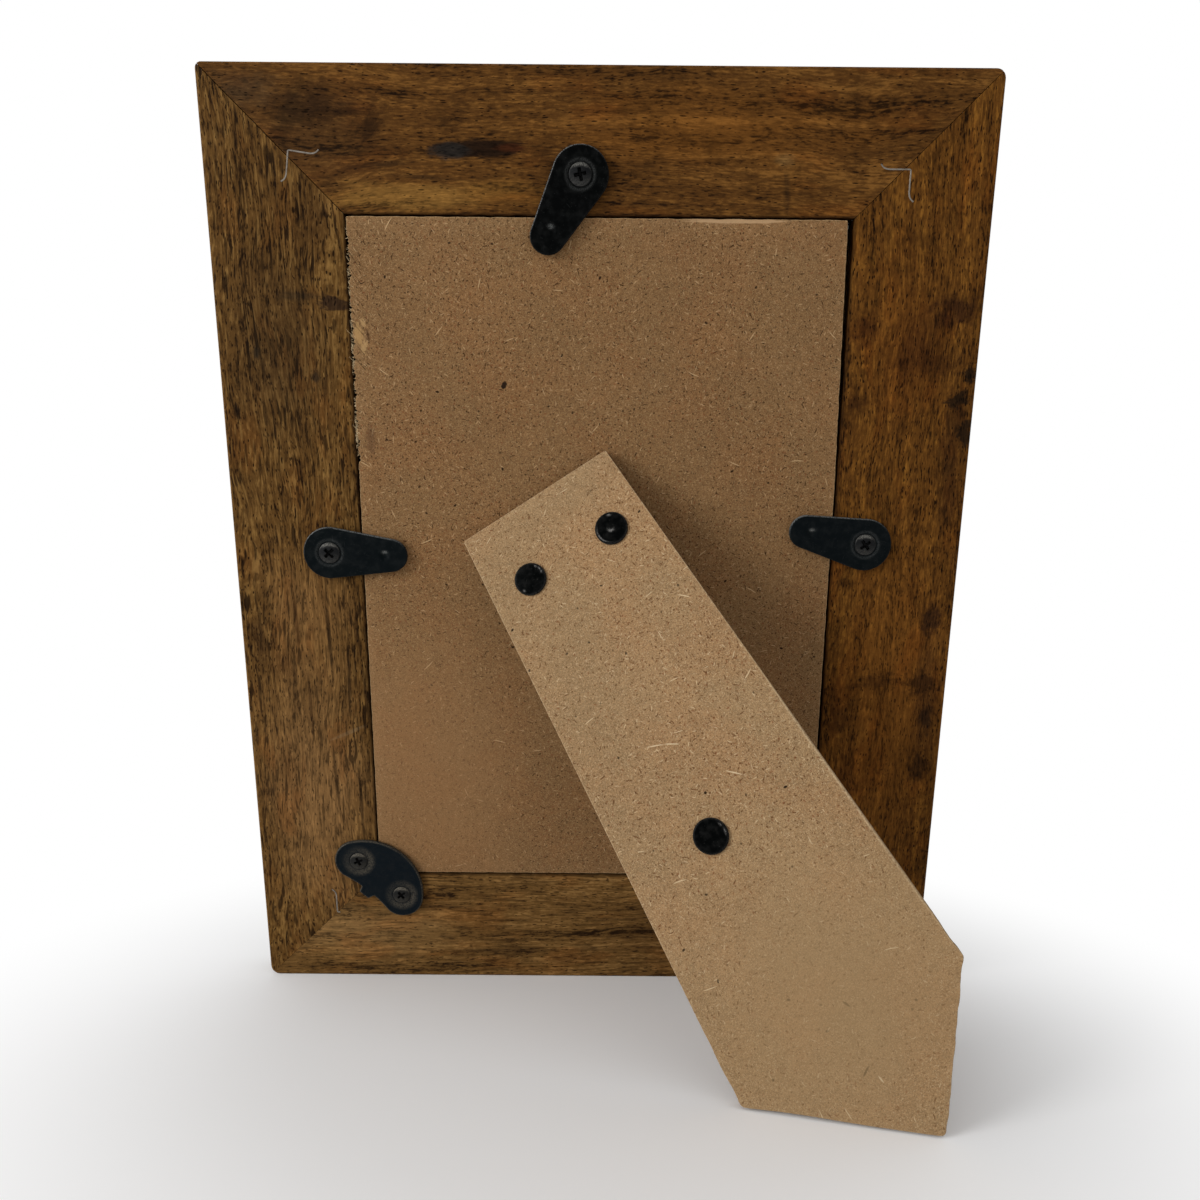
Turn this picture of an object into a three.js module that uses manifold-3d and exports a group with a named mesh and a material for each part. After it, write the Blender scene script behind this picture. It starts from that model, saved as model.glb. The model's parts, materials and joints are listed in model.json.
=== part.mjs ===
import * as THREE from "three";
import { mergeVertices, toCreasedNormals } from "three/addons/utils/BufferGeometryUtils.js";
import Module from "manifold-3d";

const wasm = await Module();
wasm.setup();

// A wooden picture frame that leans on a folding back leg. Millimetres, +Z up.
// The picture faces -Y, the back and the leg face +Y.
// Pieces are drawn in the plane of the frame's back: x to the right and y up as seen from
// behind, z straight out of the back. One group then leans that plane to stand the frame up.

// Wooden frame
const frameWidth = 200;
const frameHeight = 256;
const railWidth = 35;
const railThickness = 16;
const lipWidth = 6;
const outerCornerRadii = { bottomLeft: 2.8, bottomRight: 2, topRight: 2.4, topLeft: 1.6 };
const backArris = 0.8;
const frontArris = 2;
const sightBevelWidth = 7;
const sightBevelDepth = 3;
const mitreGap = 0.25;

// What lies in the rebate, from the back: board, picture sheet, glass
const boardThickness = 3;
const boardRecess = 0.2;
const boardGapLeft = 0.25;
const boardGapRight = 0.5;
const boardGapTopRight = 1.6;
const boardTaperLength = 68;
const boardGapTop = 0.35;
const boardGapBottom = 0.35;
const sheetThickness = 0.4;
const glassThickness = 2;
const layerGap = 0.3;
const glassSideGap = 0.4;
const sheetSideGap = 1.2;

// Turn buttons
const buttonThickness = 0.9;
const buttonLift = 0.8;
const buttonHeadRadius = 7.15;
const buttonTipRadius = 4.6;
const buttonLength = 28.5;
const buttonEdgeBreak = 0.2;
const pipInset = 1.6;
const pipRadius = 1.4;
const pipDepth = 0.6;
const headAboveDish = 0.15;
const buttons = [
  { side: "top", along: -4.9, inset: 9.5, turn: -29.5 },
  { side: "left", along: 5.5, inset: 8.5, turn: -2.2 },
  { side: "right", along: 8.9, inset: 8.4, turn: -12 },
];

// Fixed corner plates over the lower corners of the board
const plateThickness = 1.1;
const plateLift = 0.3;
const plateScrewSpacing = 16.6;
const plateLobeRadius = 6.2;
const plateLobeSpacing = 18;
const plateCrown = 10.4;
const plateWaist = 6;
const plateToothWidth = 3.4;
const plateToothDepth = 1.9;
const plateEdgeBreak = 0.3;
const plateLobeDrop = 0.4;
const plateTilt = 42;
const plateShift = 1;

// Raised-head cross screws
const buttonScrew = {
  head: 2.9,
  rim: 0.2,
  dome: 0.45,
  shank: 1.45,
  length: 12,
  crossLength: 3.2,
  crossWidth: 0.8,
};
const plateScrew = {
  head: 2.6,
  rim: 0.15,
  dome: 0.35,
  shank: 1.3,
  length: 10,
  crossLength: 2.8,
  crossWidth: 0.7,
};
const headSlope = 0.5;
const crossDepth = 0.7;
const screwClearance = 0.1;
const screwHoleClearance = 0.25;
const screwTip = 3;
const crossTurn = 20;
const bossWall = 0.7;
const bossFlare = 1.2;

// V-nails across the mitres
const nailInset = 21.8;
const nailArm = 6.6;
const nailHook = 1.6;
const nailHookAngle = 50;
const nailGauge = 0.45;
const nailDepth = 6;
const nailSlotClearance = 0.12;

// Folding leg
const legOpenAngle = 28;
const legThickness = 3;
const legTopWidth = 46;
const legLeftFlare = 1.9;
const legRightFlare = 3.9;
const legTopCornerRadius = 0.5;
const legLeftFootRadius = 2.5;
const legRightFootRadius = 1.6;
const legSideCornerRadius = 1.2;
const legShift = -1.1;
const leanBack = 14.1;
const landscapeCutTurn = -2.6;

// Hinge of the leg
const hingeRight = -11.6;
const hingeUp = 15;
const hingeTurn = 33.1;
const hingeWidth = 36;
const hingeSheet = 0.8;
const hingePinRadius = 0.85;
const hingePinPlay = 0.1;
const hingeLeafLength = 17;
const hingeLeafGap = 0.15;
const hingeKnuckles = 5;
const knuckleGap = 0.3;
const hingePinHead = 0.5;
const hingePinHeadLip = 0.4;
const hingePinHeadGap = 0.12;

// Rivets
const legRivetSpacing = 25.4;
const legRivetReach = 12.4;
const stayRivetRight = -4.3;
const stayRivetReach = 92.4;
const rivetHeadRadius = 4.4;
const rivetHeadHeight = 0.9;
const rivetTailRadius = 2.5;
const rivetTailHeight = 0.6;
const rivetShankRadius = 1.6;
const rivetGap = 0.1;
const boardRivetSpacing = 15;
const boardRivetReach = 8.5;
const boardRivetHeadRadius = 3.4;
const boardRivetSink = 0.9;

// How far a cutting form runs past a face, and how far two joined forms overlap
const overrun = 1;
const overlap = 0.1;

// How finely round forms are faceted
const roundSides = 24;
const smallSides = 16;
const arcSteps = 8;
const railArcSteps = 4;
const curlArcSteps = 14;
const creaseAngle = 35;

const degrees = THREE.MathUtils.degToRad;
const openingWidth = frameWidth - 2 * railWidth;
const openingHeight = frameHeight - 2 * railWidth;
const buttonCentres = buttonLength - buttonHeadRadius - buttonTipRadius;
const boardBack = -boardRecess;
const boardFront = boardBack - boardThickness;
const sheetBack = boardFront - layerGap;
const glassBack = sheetBack - sheetThickness - layerGap;
const rebateDepth = layerGap + glassThickness - glassBack;
const barrelRadius = hingePinRadius + hingePinPlay + hingeSheet;
const hingeHeight = boardBack + hingeLeafGap + barrelRadius;
const legInner = barrelRadius + hingeLeafGap;
const legOuter = legInner + legThickness;

// Materials
const finish = (color, roughness, metalness = 0) =>
  new THREE.MeshStandardMaterial({ color, roughness, metalness });
const walnutStain = finish(0x6b4526, 0.6);
const fibreboard = finish(0x8e6e4e, 0.85);
const legFibreboard = finish(0xa9855e, 0.85);
const blackSteel = finish(0x101418, 0.4, 0.6);
const screwSteel = finish(0x26282a, 0.45, 0.8);
const bareSteel = finish(0x8c8c88, 0.4, 1);
const hingeSteel = finish(0x9a9a96, 0.4, 1);
const clearGlass = finish(0xe6f0ee, 0.05);
clearGlass.transparent = true;
clearGlass.opacity = 0.35;
const plainPaper = finish(0xe9e4d8, 0.9);

// A closed geometry as a solid that can be cut and joined
function solid(geometry) {
  const bare = geometry.clone();
  bare.deleteAttribute("normal");
  bare.deleteAttribute("uv");
  const merged = mergeVertices(bare, 1e-4);
  return new wasm.Manifold(
    new wasm.Mesh({
      numProp: 3,
      vertProperties: merged.attributes.position.array,
      triVerts: new Uint32Array(merged.index.array),
    }),
  );
}

function geometryOf(body) {
  const data = body.getMesh();
  const geometry = new THREE.BufferGeometry();
  geometry.setAttribute("position", new THREE.BufferAttribute(data.vertProperties, 3));
  geometry.setIndex(new THREE.BufferAttribute(data.triVerts, 1));
  return toCreasedNormals(geometry, degrees(creaseAngle));
}

const cut = (body, ...tools) => tools.reduce((left, tool) => left.subtract(tool), body);
const join = (body, ...others) => others.reduce((sum, other) => sum.add(other), body);

// A profile of [radius, height] pairs, from the lowest point on the axis to the highest, turned about z
function turned(profile, sides = roundSides) {
  const points = profile.map(([radius, height]) => new THREE.Vector2(radius, height));
  return solid(new THREE.LatheGeometry(points, sides).rotateX(Math.PI / 2));
}

function rod(radius, low, high, sides = smallSides) {
  return turned([[0, low], [radius, low], [radius, high], [0, high]], sides);
}

// An outline in x and y, carried from one height to another
function slab(outline, low, high, edgeBreak = 0) {
  const geometry = new THREE.ExtrudeGeometry(outline, {
    depth: high - low - 2 * edgeBreak,
    curveSegments: arcSteps,
    bevelEnabled: edgeBreak > 0,
    bevelSegments: 1,
    bevelSize: edgeBreak,
    bevelThickness: edgeBreak,
    bevelOffset: -edgeBreak,
  });
  return solid(geometry.translate(0, 0, low + edgeBreak));
}

function rectangle(width, height) {
  return new THREE.Shape([
    corner(-width / 2, -height / 2),
    corner(width / 2, -height / 2),
    corner(width / 2, height / 2),
    corner(-width / 2, height / 2),
  ]);
}

// A polygon whose corners are rounded, each to its own radius
function roundedPolygon(corners, radii) {
  const outline = new THREE.Shape();
  corners.forEach((corner, i) => {
    const radius = radii[i];
    const before = corners.at(i - 1);
    const after = corners[(i + 1) % corners.length];
    const back = before.clone().sub(corner).normalize();
    const ahead = after.clone().sub(corner).normalize();
    const reach = radius / Math.tan(Math.acos(back.dot(ahead)) / 2);
    const start = corner.clone().addScaledVector(back, reach);
    const end = corner.clone().addScaledVector(ahead, reach);
    if (i === 0) outline.moveTo(start.x, start.y);
    else outline.lineTo(start.x, start.y);
    outline.quadraticCurveTo(corner.x, corner.y, end.x, end.y);
  });
  outline.closePath();
  return outline;
}

const corner = (x, y) => new THREE.Vector2(x, y);

// Mesh made from a solid, named and put in a group
function piece(name, body, material, parent) {
  const mesh = new THREE.Mesh(geometryOf(body), material);
  mesh.name = name;
  parent.add(mesh);
  return mesh;
}

// A place in the back plane: to the right, up, turned, and how far out of the back
function placed(right, up, turn = 0, out = 0) {
  const group = new THREE.Group();
  group.position.set(right, up, out);
  group.rotation.z = degrees(turn);
  backPlane.add(group);
  return group;
}

const frame = new THREE.Group();
const backPlane = new THREE.Group();
frame.add(backPlane);

// Where a button's screw stands beside the opening, and which way its tip points
function buttonPlace({ side, along, inset, turn }) {
  const beside = openingWidth / 2 + inset;
  const above = openingHeight / 2 + inset;
  if (side === "top") return { right: along, up: above, turn: turn - 90 };
  if (side === "left") return { right: -beside, up: along, turn };
  return { right: beside, up: along, turn: turn + 180 };
}

// A corner plate's middle, in the back plane, for the left (-1) or right (1) lower corner
function platePlace(hand) {
  const slide = plateShift * Math.SQRT1_2;
  return {
    right: hand * (openingWidth / 2 - slide),
    up: -openingHeight / 2 - slide,
    turn: hand * plateTilt,
  };
}

// Where each screw enters the wood
function screwSites() {
  const sites = buttons.map((button) => ({ ...buttonPlace(button), screw: buttonScrew }));
  for (const hand of [-1, 1]) {
    const { right, up, turn } = platePlace(hand);
    for (const end of [-1, 1]) {
      const run = (end * plateScrewSpacing) / 2;
      sites.push({
        right: right + run * Math.cos(degrees(turn)),
        up: up + run * Math.sin(degrees(turn)),
        screw: plateScrew,
      });
    }
  }
  return sites;
}

// A point given along the hinge's pin and up the leg, in the back plane
function hingePoint(x, y) {
  const turn = degrees(hingeTurn);
  return [
    hingeRight + x * Math.cos(turn) - y * Math.sin(turn),
    hingeUp + x * Math.sin(turn) + y * Math.cos(turn),
    0,
  ];
}

// A V-nail seen on edge: two arms at a right angle, each with its end bent outwards
function nailPath() {
  const bend = degrees(nailHookAngle);
  const hookRun = nailHook * Math.cos(bend);
  const hookRise = nailHook * Math.sin(bend);
  return [
    corner(nailArm + hookRun, -hookRise),
    corner(nailArm, 0),
    corner(0, 0),
    corner(0, nailArm),
    corner(-hookRise, nailArm + hookRun),
  ];
}

// An open path given an even width
function ribbon(path, width) {
  const side = (sign) =>
    path.map((point, i) => {
      const before = path[Math.max(i - 1, 0)];
      const after = path[Math.min(i + 1, path.length - 1)];
      const arriving = point.clone().sub(i > 0 ? before : point).normalize();
      const leaving = after.clone().sub(i < path.length - 1 ? point : after).normalize();
      const run = arriving.clone().add(leaving).normalize();
      const turn = i > 0 && i < path.length - 1 ? run.dot(leaving) : 1;
      return corner(-run.y, run.x).multiplyScalar((sign * width) / 2 / turn).add(point);
    });
  return new THREE.Shape([...side(-1), ...side(1).reverse()]);
}

// Each nail missed the mitre's line by a little when it was driven in, which lift gives
const nailCorners = [
  { name: "v_nail_top_left", right: -1, up: 1, turn: -98, lift: 1.7 },
  { name: "v_nail_top_right", right: 1, up: 1, turn: 180, lift: -1.6 },
  { name: "v_nail_bottom_left", right: -1, up: -1, turn: 0, lift: 0.1 },
  { name: "v_nail_bottom_right", right: 1, up: -1, turn: 90, lift: -0.4 },
];

function nailPlace({ right, up, turn, lift }) {
  return {
    right: right * (frameWidth / 2 - nailInset),
    up: up * (frameHeight / 2 - nailInset) + lift,
    turn,
  };
}

function moved(body, { right, up, turn = 0 }) {
  return body.rotate([0, 0, turn]).translate([right, up, 0]);
}

// Rails: one moulding section, mitred at both ends, cut for the screws and V-nails
function railSection() {
  const sight = railWidth + lipWidth;
  const section = new THREE.Shape();
  section.moveTo(backArris, 0);
  section.absarc(backArris, -backArris, backArris, Math.PI / 2, Math.PI, false);
  section.lineTo(0, -railThickness + frontArris);
  section.absarc(frontArris, -railThickness + frontArris, frontArris, Math.PI, 1.5 * Math.PI, false);
  section.lineTo(sight - sightBevelWidth, -railThickness);
  section.quadraticCurveTo(
    sight - sightBevelWidth / 2, -railThickness,
    sight, -railThickness + sightBevelDepth,
  );
  section.lineTo(sight, -rebateDepth);
  section.lineTo(railWidth, -rebateDepth);
  section.lineTo(railWidth, 0);
  return section;
}

function mitredRail(length, across) {
  const geometry = new THREE.ExtrudeGeometry(railSection(), {
    depth: 1,
    bevelEnabled: false,
    curveSegments: railArcSteps,
  });
  const position = geometry.attributes.position;
  for (let i = 0; i < position.count; i += 1) {
    const inward = position.getX(i);
    const end = 2 * position.getZ(i) - 1;
    const halfLength = length / 2 - inward - mitreGap * Math.SQRT1_2;
    position.setXYZ(i, end * halfLength, inward - across / 2, position.getY(i));
  }
  return solid(geometry);
}

function woodCuts() {
  const holes = screwSites().map(({ right, up, screw }) => {
    const radius = screw.shank + screwHoleClearance;
    return rod(radius, -screw.length - screwHoleClearance, overrun).translate([right, up, 0]);
  });
  const slotOutline = ribbon(nailPath(), nailGauge + 2 * nailSlotClearance);
  const slot = slab(slotOutline, -nailDepth - nailSlotClearance, overrun);
  const slots = nailCorners.map((place) => moved(slot, nailPlace(place)));
  return [...holes, ...slots];
}

function addRails() {
  const halfWidth = frameWidth / 2;
  const halfHeight = frameHeight / 2;
  const corners = [
    corner(-halfWidth, -halfHeight),
    corner(halfWidth, -halfHeight),
    corner(halfWidth, halfHeight),
    corner(-halfWidth, halfHeight),
  ];
  const { bottomLeft, bottomRight, topRight, topLeft } = outerCornerRadii;
  const outline = roundedPolygon(corners, [bottomLeft, bottomRight, topRight, topLeft]);
  const outside = slab(outline, -railThickness - overrun, overrun);
  const cuts = woodCuts();
  const rails = [
    ["bottom_rail", frameWidth, frameHeight, 0],
    ["right_rail", frameHeight, frameWidth, 90],
    ["top_rail", frameWidth, frameHeight, 180],
    ["left_rail", frameHeight, frameWidth, -90],
  ];
  for (const [name, length, across, turn] of rails) {
    const rail = mitredRail(length, across).rotate([0, 0, turn]).intersect(outside);
    piece(name, cut(rail, ...cuts), walnutStain, backPlane);
  }
}

// The board is sawn a little narrower towards its upper right corner
function boardOutline() {
  const left = boardGapLeft - openingWidth / 2;
  const right = openingWidth / 2 - boardGapRight;
  const bottom = boardGapBottom - openingHeight / 2;
  const top = openingHeight / 2 - boardGapTop;
  return new THREE.Shape([
    corner(left, bottom),
    corner(right, bottom),
    corner(right, top - boardTaperLength),
    corner(openingWidth / 2 - boardGapTopRight, top),
    corner(left, top),
  ]);
}

// Glass, picture sheet and board, laid in the rebate
function addStack() {
  const glass = rectangle(openingWidth - 2 * glassSideGap, openingHeight - 2 * glassSideGap);
  piece("glass", slab(glass, glassBack - glassThickness, glassBack), clearGlass, backPlane);
  const sheet = rectangle(openingWidth - 2 * sheetSideGap, openingHeight - 2 * sheetSideGap);
  piece("picture_sheet", slab(sheet, sheetBack - sheetThickness, sheetBack), plainPaper, backPlane);

  const wider = boardRivetHeadRadius + rivetGap;
  const hole = turned([
    [0, boardFront - overrun],
    [wider, boardFront - overrun],
    [wider, boardFront],
    [rivetShankRadius + rivetGap, boardFront + boardRivetSink],
    [rivetShankRadius + rivetGap, boardBack + overrun],
    [0, boardBack + overrun],
  ], smallSides);
  const holes = [-1, 1].map((end) =>
    hole.translate(hingePoint((end * boardRivetSpacing) / 2, -boardRivetReach)));
  const board = slab(boardOutline(), boardFront, boardBack);
  piece("back_board", cut(board, ...holes), fibreboard, backPlane);
}

// Screws: a raised head on a shallow cone, a plain shank and a point, with a cross cut in the head
function screwBody({ head, rim, dome, shank, length, crossLength, crossWidth }, seat) {
  const top = seat + screwClearance;
  const headBottom = top - (head - shank) * headSlope;
  const body = turned([
    [0, -length],
    [shank * 0.3, -length + shank * 0.4],
    [shank, -length + screwTip],
    [shank, headBottom],
    [head, top],
    [head, top + rim],
    [head * 0.75, top + rim + dome * 0.6],
    [head * 0.4, top + rim + dome * 0.92],
    [0, top + rim + dome],
  ]);
  const crown = top + rim + dome;
  const slot = (wide, high) => slab(rectangle(wide, high), crown - crossDepth, crown + overrun);
  const pit = turned([
    [0, crown - 1.6 * crossDepth],
    [crossLength * 0.28, crown - crossDepth * 0.6],
    [crossLength * 0.3, crown + overrun],
    [0, crown + overrun],
  ], 8);
  return cut(body, slot(crossLength, crossWidth), slot(crossWidth, crossLength), pit);
}

// The dish that a screw head sits in: its cone comes up to the head's edge at one height
function dishCut(screw, height) {
  const rim = screw.head + screwClearance;
  const hole = screw.shank + screwHoleClearance;
  return turned([
    [0, -overrun],
    [hole, -overrun],
    [hole, height - (rim - hole) * headSlope],
    [rim, height],
    [rim, height + overrun],
    [0, height + overrun],
  ]);
}

// The metal that a pressed dish pushes out beneath its sheet
function dishBoss(screw, sheetBottom, low) {
  const foot = screw.shank + screwHoleClearance + bossWall;
  const shoulder = screw.head + bossFlare;
  return turned([
    [0, low],
    [foot, low],
    [shoulder, sheetBottom],
    [shoulder, sheetBottom + overlap],
    [0, sheetBottom + overlap],
  ]);
}

// Turn buttons: a drop outline between two circles, dished at the screw and dimpled at the tip
function dropOutline() {
  const slope = Math.acos((buttonHeadRadius - buttonTipRadius) / buttonCentres);
  const outline = new THREE.Shape();
  outline.absarc(0, 0, buttonHeadRadius, slope, 2 * Math.PI - slope, false);
  outline.absarc(buttonCentres, 0, buttonTipRadius, -slope, slope, false);
  outline.closePath();
  return outline;
}

function buttonBody() {
  const bottom = buttonLift;
  const top = buttonLift + buttonThickness;
  const pipReach = buttonCentres - pipInset;
  const sheet = slab(dropOutline(), bottom, top, buttonEdgeBreak);
  const boss = dishBoss(buttonScrew, bottom, bottom - pipDepth);
  const pip = turned([
    [0, bottom - pipDepth],
    [pipRadius * 0.5, bottom - pipDepth * 0.92],
    [pipRadius, bottom - pipDepth * 0.35],
    [pipRadius * 1.25, bottom],
    [pipRadius * 1.25, bottom + overlap],
    [0, bottom + overlap],
  ], smallSides).translate([pipReach, 0, 0]);
  const dimple = turned([
    [0, top - pipDepth],
    [pipRadius * 0.5, top - pipDepth * 0.85],
    [pipRadius * 0.9, top],
    [pipRadius * 0.9, top + overrun],
    [0, top + overrun],
  ], smallSides).translate([pipReach, 0, 0]);
  return cut(join(sheet, boss, pip), dishCut(buttonScrew, top - headAboveDish), dimple);
}

function addButtons() {
  const body = buttonBody();
  const screw = screwBody(buttonScrew, buttonLift + buttonThickness - headAboveDish);
  for (const button of buttons) {
    const { right, up, turn } = buttonPlace(button);
    piece(`turn_button_${button.side}`, body, blackSteel, placed(right, up, turn));
    piece(`pivot_screw_${button.side}`, screw, screwSteel, placed(right, up, turn + crossTurn));
  }
}

// Corner plates: a half moon with round ends and a small tooth in the middle of its flat side
function halfMoonOutline() {
  const lobe = plateLobeSpacing / 2;
  const lobeUp = plateWaist - plateLobeRadius - plateLobeDrop;
  const gap = plateCrown - plateLobeRadius;
  const crownCentre = (gap * gap - lobe * lobe - lobeUp * lobeUp) / (2 * (gap - lobeUp));
  const crownRadius = plateCrown - crownCentre;
  const lean = Math.atan2(lobeUp - crownCentre, lobe);
  const outline = new THREE.Shape();
  outline.absarc(0, crownCentre, crownRadius, lean, Math.PI - lean, false);
  outline.absarc(-lobe, lobeUp, plateLobeRadius, Math.PI - lean, 1.5 * Math.PI, false);
  outline.quadraticCurveTo(-lobe / 2, -plateWaist, -plateToothWidth * 0.75, -plateWaist);
  outline.lineTo(-plateToothWidth * 0.4, -plateWaist - plateToothDepth);
  outline.lineTo(plateToothWidth * 0.4, -plateWaist - plateToothDepth);
  outline.lineTo(plateToothWidth * 0.75, -plateWaist);
  outline.quadraticCurveTo(lobe / 2, -plateWaist, lobe, lobeUp - plateLobeRadius);
  outline.absarc(lobe, lobeUp, plateLobeRadius, -Math.PI / 2, lean, false);
  outline.closePath();
  return outline;
}

function addCornerPlates() {
  const top = plateLift + plateThickness;
  const dish = dishCut(plateScrew, top);
  const ends = [-1, 1].map((end) => (end * plateScrewSpacing) / 2);
  const sheet = slab(halfMoonOutline(), plateLift, top, plateEdgeBreak);
  const body = cut(sheet, ...ends.map((run) => dish.translate([run, 0, 0])));
  const screw = screwBody(plateScrew, top);
  const sides = [["left", -1], ["right", 1]];
  for (const [side, hand] of sides) {
    const { right, up, turn } = platePlace(hand);
    const place = placed(right, up, turn);
    piece(`corner_plate_${side}`, body, blackSteel, place);
    ends.forEach((run, i) => {
      const end = (i === 0) === (hand === -1) ? "outer" : "inner";
      piece(`plate_screw_${side}_${end}`, screw.translate([run, 0, 0]), screwSteel, place);
    });
  }
}

function addNails() {
  const nail = slab(ribbon(nailPath(), nailGauge), -nailDepth, 0);
  for (const place of nailCorners) {
    const { right, up, turn } = nailPlace(place);
    piece(place.name, nail, bareSteel, placed(right, up, turn));
  }
}

// Hinge: two sheet leaves curled round one pin. In the hinge's own axes x runs along the pin,
// y points up the leg and z out of the back; a leaf hangs down from the pin.
function leafSection(withCurl) {
  const inside = barrelRadius - hingeSheet;
  const section = new THREE.Shape();
  section.moveTo(-hingeLeafLength, barrelRadius);
  section.lineTo(-hingeLeafLength, inside);
  if (withCurl) {
    section.lineTo(0, inside);
    section.absarc(0, 0, inside, Math.PI / 2, -Math.PI, true);
    section.absarc(0, 0, barrelRadius, -Math.PI, Math.PI / 2, false);
  } else {
    section.lineTo(-barrelRadius - knuckleGap, inside);
    section.lineTo(-barrelRadius - knuckleGap, barrelRadius);
  }
  section.closePath();
  return section;
}

// A section in y and z, carried along x from one place to another
function alongPin(section, from, to) {
  const geometry = new THREE.ExtrudeGeometry(section, {
    depth: to - from,
    bevelEnabled: false,
    curveSegments: curlArcSteps,
  });
  geometry.applyMatrix4(new THREE.Matrix4().makeBasis(
    new THREE.Vector3(0, 1, 0),
    new THREE.Vector3(0, 0, 1),
    new THREE.Vector3(1, 0, 0),
  ));
  return solid(geometry.translate(from, 0, 0));
}

function leafBody(isOdd, holeSpacing, holeReach) {
  const pitch = hingeWidth / hingeKnuckles;
  const plate = alongPin(leafSection(false), -hingeWidth / 2, hingeWidth / 2);
  const curls = [];
  for (let i = isOdd ? 0 : 1; i < hingeKnuckles; i += 2) {
    const from = -hingeWidth / 2 + i * pitch;
    const low = i === 0 ? from : from + knuckleGap / 2;
    const high = i === hingeKnuckles - 1 ? from + pitch : from + pitch - knuckleGap / 2;
    curls.push(alongPin(leafSection(true), low, high));
  }
  const hole = rod(rivetShankRadius + rivetGap, -barrelRadius - overrun, barrelRadius + overrun);
  const holes = [-1, 1].map((end) => hole.translate([(end * holeSpacing) / 2, -holeReach, 0]));
  return cut(join(plate, ...curls), ...holes);
}

// A rivet: flat-domed head, shank and turned-over tail, from the tail's end up to the head
function rivetBody(tailTop, headBottom) {
  const high = headBottom + rivetHeadHeight;
  return turned([
    [0, tailTop - rivetTailHeight],
    [rivetTailRadius * 0.8, tailTop - rivetTailHeight],
    [rivetTailRadius, tailTop - rivetTailHeight * 0.5],
    [rivetTailRadius, tailTop],
    [rivetShankRadius, tailTop],
    [rivetShankRadius, headBottom],
    [rivetHeadRadius, headBottom],
    [rivetHeadRadius, headBottom + rivetHeadHeight * 0.3],
    [rivetHeadRadius * 0.93, headBottom + rivetHeadHeight * 0.72],
    [rivetHeadRadius * 0.75, headBottom + rivetHeadHeight * 0.93],
    [rivetHeadRadius * 0.4, high],
    [0, high],
  ]);
}

function addHinge(hinge, leg) {
  const legLeaf = leafBody(false, legRivetSpacing, legRivetReach);
  piece("hinge_leaf_leg", legLeaf, hingeSteel, leg);
  const boardLeaf = leafBody(true, boardRivetSpacing, boardRivetReach).mirror([0, 0, 1]);
  piece("hinge_leaf_board", boardLeaf, hingeSteel, hinge);

  const end = hingeWidth / 2;
  const headRadius = hingePinRadius + hingePinHeadLip;
  const pin = turned([
    [0, -end - hingePinHead],
    [headRadius * 0.6, -end - hingePinHead],
    [headRadius, -end - hingePinHead * 0.6],
    [headRadius, -end - hingePinHeadGap],
    [hingePinRadius, -end - hingePinHeadGap],
    [hingePinRadius, end + hingePinHeadGap],
    [headRadius, end + hingePinHeadGap],
    [headRadius, end + hingePinHead * 0.6],
    [headRadius * 0.6, end + hingePinHead],
    [0, end + hingePinHead],
  ], smallSides);
  piece("hinge_pin", pin.rotate([0, 90, 0]), bareSteel, hinge);

  const leafTop = hingeSheet - barrelRadius;
  const tailBottom = leafTop + rivetGap;
  const sunkBottom = boardFront - hingeHeight;
  const boardRivet = turned([
    [0, sunkBottom],
    [boardRivetHeadRadius, sunkBottom],
    [rivetShankRadius, sunkBottom + boardRivetSink],
    [rivetShankRadius, tailBottom],
    [rivetTailRadius, tailBottom],
    [rivetTailRadius, tailBottom + rivetTailHeight * 0.5],
    [rivetTailRadius * 0.8, tailBottom + rivetTailHeight],
    [0, tailBottom + rivetTailHeight],
  ], smallSides);
  const sides = [["left", -1], ["right", 1]];
  for (const [side, hand] of sides) {
    const at = [(hand * boardRivetSpacing) / 2, -boardRivetReach, 0];
    piece(`board_rivet_${side}`, boardRivet.translate(at), bareSteel, hinge);
  }
}

// The leg's foot is cut to stand flat both ways up. Each cut is the line, in the leg's inner
// face, that meets the ground when that edge of the frame is down and the frame leans back on
// its rounded arris. The second cut was sawn a little off its line.
function footLine(legFrame, edgeNormal, edgeDistance) {
  const sine = Math.sin(degrees(leanBack));
  const cosine = Math.cos(degrees(leanBack));
  const ground = backArris * (sine + cosine - 1);
  const height = (x, y) => {
    const point = new THREE.Vector3(x, y, legInner).applyMatrix4(legFrame);
    return (edgeDistance - point.dot(edgeNormal)) * cosine - point.z * sine - ground;
  };
  const constant = height(0, 0);
  return { a: height(1, 0) - constant, b: height(0, 1) - constant, c: constant };
}

function meet(first, second) {
  const size = first.a * second.b - second.a * first.b;
  return corner(
    (first.b * second.c - second.b * first.c) / size,
    (second.a * first.c - first.a * second.c) / size,
  );
}

// A line turned about the middle of the stretch between two others that it crosses
function turnedLine(line, first, second, angle) {
  const middle = meet(line, first).add(meet(line, second)).multiplyScalar(0.5);
  const sine = Math.sin(degrees(angle));
  const cosine = Math.cos(degrees(angle));
  const a = line.a * cosine - line.b * sine;
  const b = line.a * sine + line.b * cosine;
  return { a, b, c: -a * middle.x - b * middle.y };
}

// A line through a point, running down the leg and flaring by an angle
function sideLine(x, y, flare) {
  const run = Math.tan(degrees(flare));
  return { a: 1, b: run, c: -x - run * y };
}

// The leg opens until the inner corner of its top edge bears on the board
function legHeel() {
  const open = degrees(legOpenAngle);
  const drop = hingeHeight - boardBack - hingeLeafGap;
  return (legInner * Math.cos(open) + drop) / Math.sin(open);
}

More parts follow.
